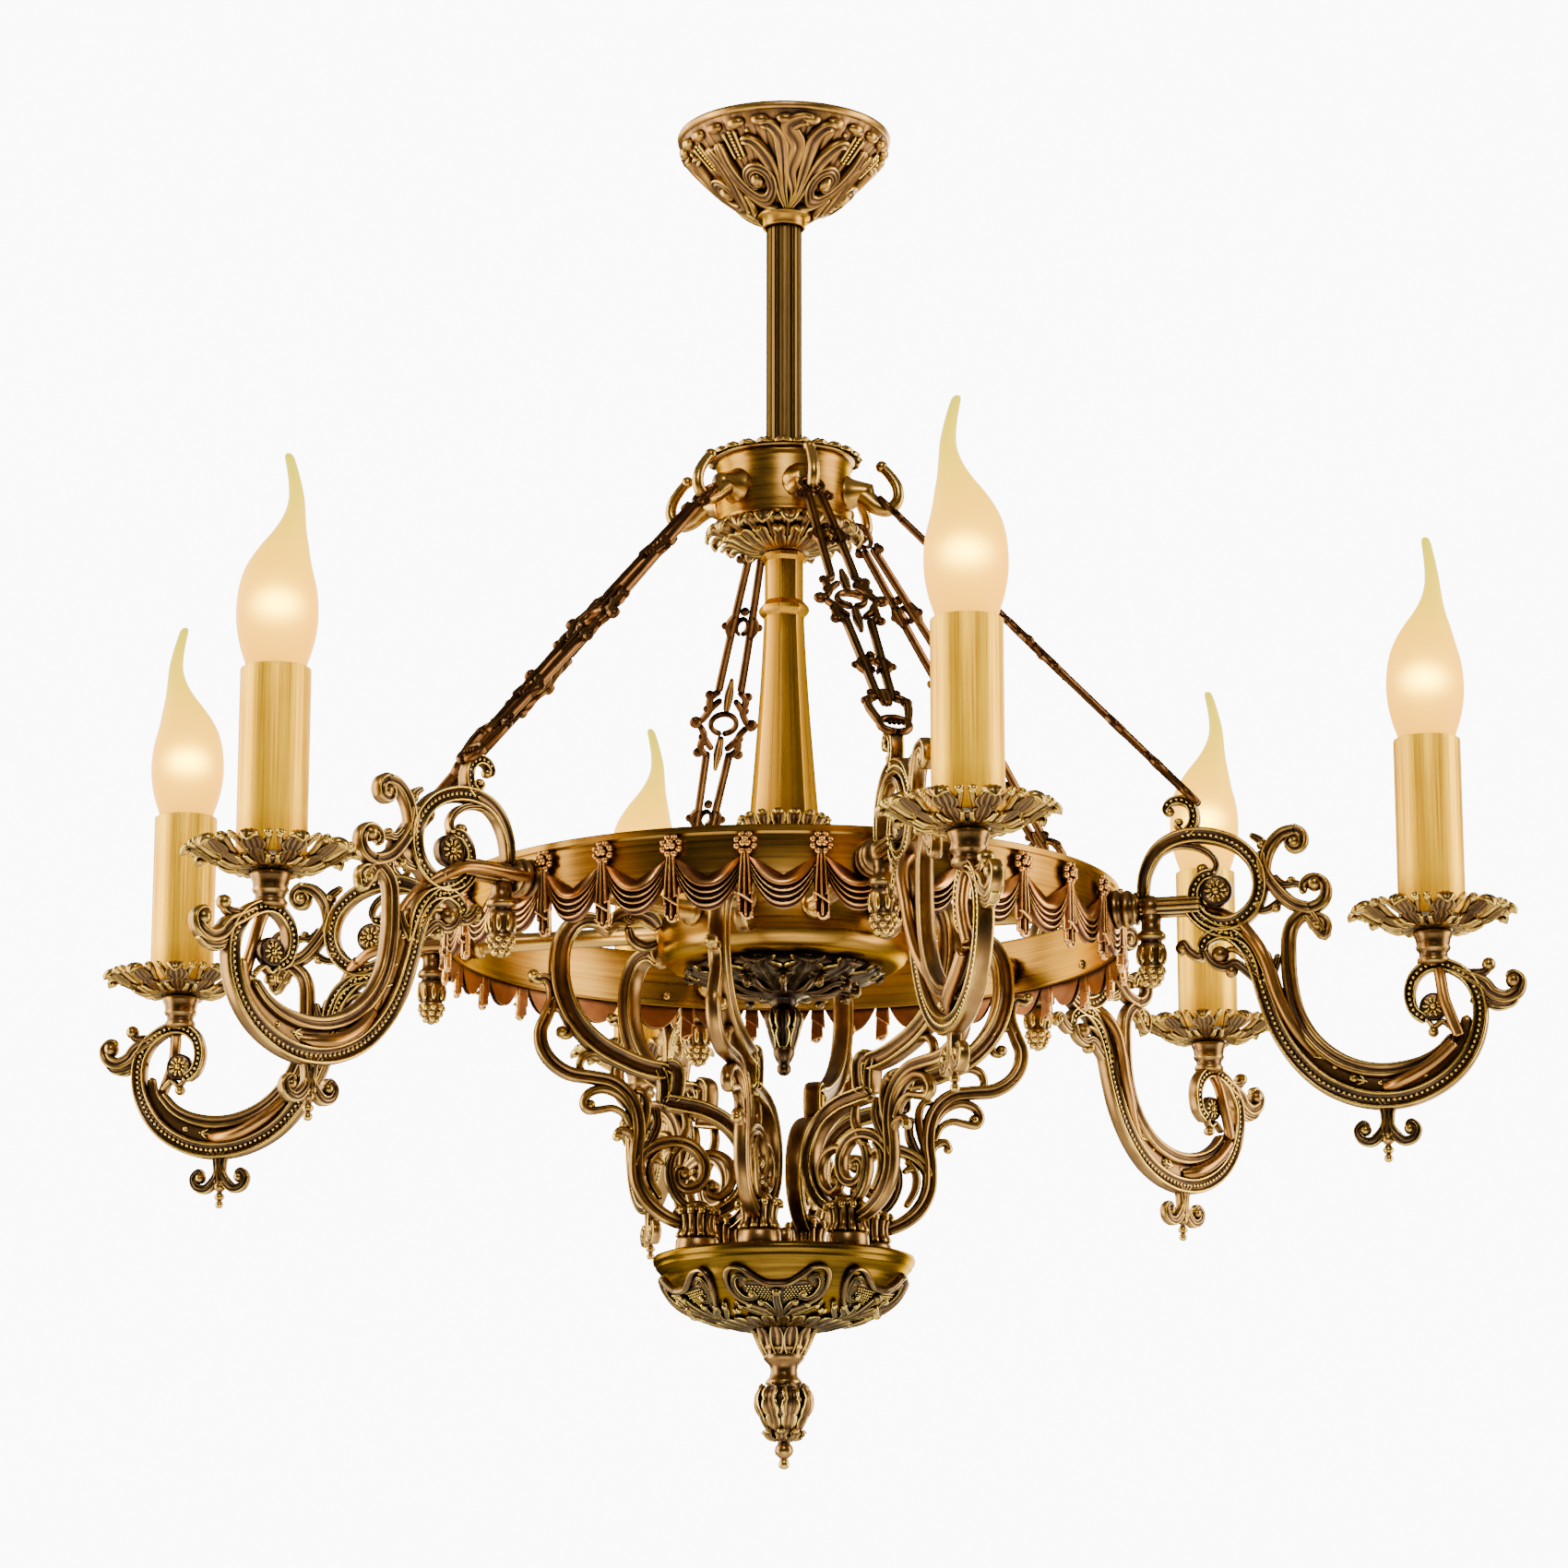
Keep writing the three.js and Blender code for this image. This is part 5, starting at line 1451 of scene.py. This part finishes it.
# ---- Basket brackets -----------------------------------------------------------------------------
def bracket_casting():
    b = Casting()
    thick = 8.4
    for lean in (-1, 1):
        b.leaf([(59.4, lean * 1.0, -391), (64, lean * 1.8, -386.5), (72, lean * 2.4, -384.8),
            (80, lean * 3.2, -388), (83, lean * 3.8, -393)], 5.4, 2.0, lobes=3, ribs=3,
            side=(0, .5, .87), rows=22, cols=11)
    b.stroke([(60, -398), (66, -400), (72, -397), (74, -391)], (4.1, 5.3, 3.6), (6, 7.4, 5.6), RIDGED,
        step=.7)
    b.stroke([(61, -384), (66, -381.6), (72, -382.6), (75, -387), (71.4, -389.6)], (3.6, 4.8, 3.1),
        (5.6, 6.6, 5), RIDGED, step=.7)
    b.stroke([(74, -391), (80, -390.4), (84, -393.4), (88, -391), (91.6, -387.8)], (4.1, 5.5, 4.8),
        (6, 7, 6), ROUND, step=.7)
    b.stroke([(82, -394), (88, -389.6), (94.6, -389), (100.4, -392.2), (104.4, -399), (106, -408),
        (105.4, -419), (101.6, -430.4), (95, -440), (86.4, -447.4), (76.4, -452.6), (66, -456.4),
        (54, -458.4)], (5.0, 9, 9.6, 9.6, 9.4, 9.2), thick, CHANNEL, step=.8)
    b.stroke([(57.6, -455), (51.6, -457), (51.6, -466.6), (54, -471.6)], 8.2, thick, CHANNEL, step=.8)
    b.stroke([(60, -455.6), (57.4, -463), (57.6, -473)], 5.4, thick * .96, CHANNEL, step=.8)
    b.stroke([(58, -471.6), (48, -473), (38, -475), (28.6, -479.4), (21.6, -486.4), (17.6, -496),
        (17.8, -507), (23.6, -516.6), (31, -521.8), (39, -524.6)], (8, 8, 8, 7.4, 6, 5), (thick, thick,
        7, 6.4), CHANNEL, step=.8)
    b.stroke([(118, -414.6), (116.2, -417.4), (112.4, -417), (109.6, -420.6), (109.2, -427),
        (111.8, -434.6), (114.4, -441.4), (113.4, -449), (108.6, -455.8), (100.6, -460.4), (90, -461.8),
        (81, -463.4), (74, -468.4), (69.8, -476), (68.4, -486), (69.4, -497), (68.8, -508),
        (64.4, -517), (57, -523.4), (47, -528)], (4.6, 6.0, 6.6, 6.8, 6.6, 6.6, 6.8, 7.2, 5.8),
        (5, 6.4, 6.4, 6.6, 6), GROOVED, step=.8)
    b.knob(118, -415.6, 2.7)
    b.stroke([(112.6, -433), (108, -430.6), (102.6, -432.6), (99.8, -437.4), (101, -442.6),
        (105.4, -443.4)], (3.1, 4.3, 3.1), (4.6, 5.6, 4.6), ROUND, step=.7)
    b.knob(104.6, -441.4, 2.9)
    b.stroke([(104, -424), (108.6, -428), (111.4, -434.4)], (3.6, 5, 3.1), (5, 6, 4.6), RIDGED, step=.7)
    b.stroke([(82, -453), (89, -450.6), (94.4, -452.4), (96, -457.6), (92.6, -461)], (3.1, 4.3, 3.1),
        (4.6, 5.6, 4.6), ROUND, step=.7)
    b.stroke([(70, -487), (71.4, -478), (76.4, -470.4), (84, -467), (91, -468.6), (94.2, -473.4),
        (92, -477), (86, -476.4), (80.4, -475.6), (75, -478.6), (71.4, -486)], (3.6, 4.6, 4.3, 3.6,
        3.1), (5, 5.8, 4.6), ROUND, step=.7)
    b.knob(91, -474.4, 2.5)
    b.stroke([(69.6, -492), (72.4, -487), (77, -485.6), (79.4, -489)], (3.6, 4.3, 3.4), (5, 5.4, 4.4),
        ROUND, step=.7)
    b.knob(78.4, -488.6, 2.3)
    b.stroke([(60.6, -474), (59.6, -482), (62.4, -489.4), (66.4, -496)], (3.6, 4.3, 3.6), (5, 5.6, 5),
        RIDGED, step=.7)
    b.stroke([(71, -466.8), (66.6, -467.6), (64.4, -473), (65, -481), (67.4, -490)], (3.6, 4.1, 3.4),
        (5, 5.6, 4.6), ROUND, step=.7)
    b.stroke([(47, -475), (46, -483), (49, -490), (53.6, -496)], (3.4, 4.1, 3.4), (4.6, 5.4, 4.6),
        ROUND, step=.7)
    b.stroke([(69.6, -503), (66, -496.6), (59.6, -491.8), (51.4, -489.8), (43.4, -491.8),
        (38.2, -497.6), (37.4, -504.4), (40.6, -510), (46.4, -511.4), (50.6, -508), (50.4, -503.2),
        (46.4, -501.6)], (4.4, 6.0, 6.0, 5.2, 3.8), (5.6, 6.6, 6, 4.8), GROOVED, step=.7)
    b.knob(46.6, -504.4, 3.1, 1.25, 14, 8)
    b.stroke([(48, -490.6), (53, -497.4), (54, -506), (50.4, -515), (43, -522)], (3.6, 4.8, 4.1),
        (5, 6, 5), RIDGED, step=.7)
    b.stroke([(58, -494), (62.6, -500.4), (62.4, -508), (57.6, -516.6)], (3.1, 4.1, 3.1),
        (4.6, 5.4, 4.6), ROUND, step=.7)
    b.stroke([(64, -500), (60.4, -498.4), (56.4, -500.4)], (3.6, 3.8, 2.6), (4.6, 5, 4), ROUND, step=.6)
    b.stroke([(40, -495.6), (33, -494.6), (27, -497.6), (24.4, -503.6), (26, -510.4), (31, -514.6),
        (36, -512.6), (36.2, -508.2)], (3.4, 4.8, 4.6, 3.4), (4.6, 5.8, 4.8), ROUND, step=.7)
    b.knob(33.8, -509.8, 2.8, 1.25)
    foot = Casting()
    foot.turned([(0, -540.8), (9.6, -540.7), (9.8, -539.8), (9.6, -535.0), (9.0, -534.0), (0, -533.6)],
        48)
    foot.turned([(0, -534.2), (7.2, -534), (6.0, -530), (5.8, -526), (6.6, -522), (5.6, -518.8),
        (0, -517.6)], 40)
    ribs = 12
    for i in range(ribs):
        rib = Casting()
        rib.cord([(8.6, 0, -533.6), (6.9, 0, -530.4), (6.6, 0, -526.6), (7.8, 0, -522.6),
            (9.6, 0, -521.4), (9.8, 0, -523.6)], (1.7, 1.9, 1.9, 1.5), 10, .8)
        foot.add_casting(rib, turn(360 / ribs * i))
    foot.ball((0, 0, -519.6), 6.4, (1, .9, .5), 20, 8)
    b.add_casting(foot, shift(x=41))
    return b


def arms_and_brackets():
    arm, pipe, bracket = arm_casting(), conduits(), bracket_casting()
    for i in range(ARMS):
        number = i + 1
        make_piece(f"arm_scroll_{number}", arm, ANTIQUE, FRAME_BODY, [f"arm_frame_{number}"],
            turn(ARM_ANGLES[i]))
        make_piece(f"arm_conduit_{number}", pipe, CONDUIT, FRAME_BODY, [f"conduit_{number}"],
            turn(ARM_ANGLES[i]))
        make_piece(f"bracket_scroll_{number}", bracket, ANTIQUE, FRAME_BODY, [f"bracket_{number}"],
            turn(BRACKET_ANGLES[i]))


canopy()
collar_and_stem()
hub()
column()
ring_band()
swags()
centre_drum()
bowl()
finial()
arms_and_brackets()
candles()
chains()

for node, material in (("ceiling_bracket", ZINC),
        *((f"lampholder_{i + 1}", HOLDER) for i in range(ARMS))):
    for material_slot in frame["nodes"][node].material_slots:
        material_slot.material = material
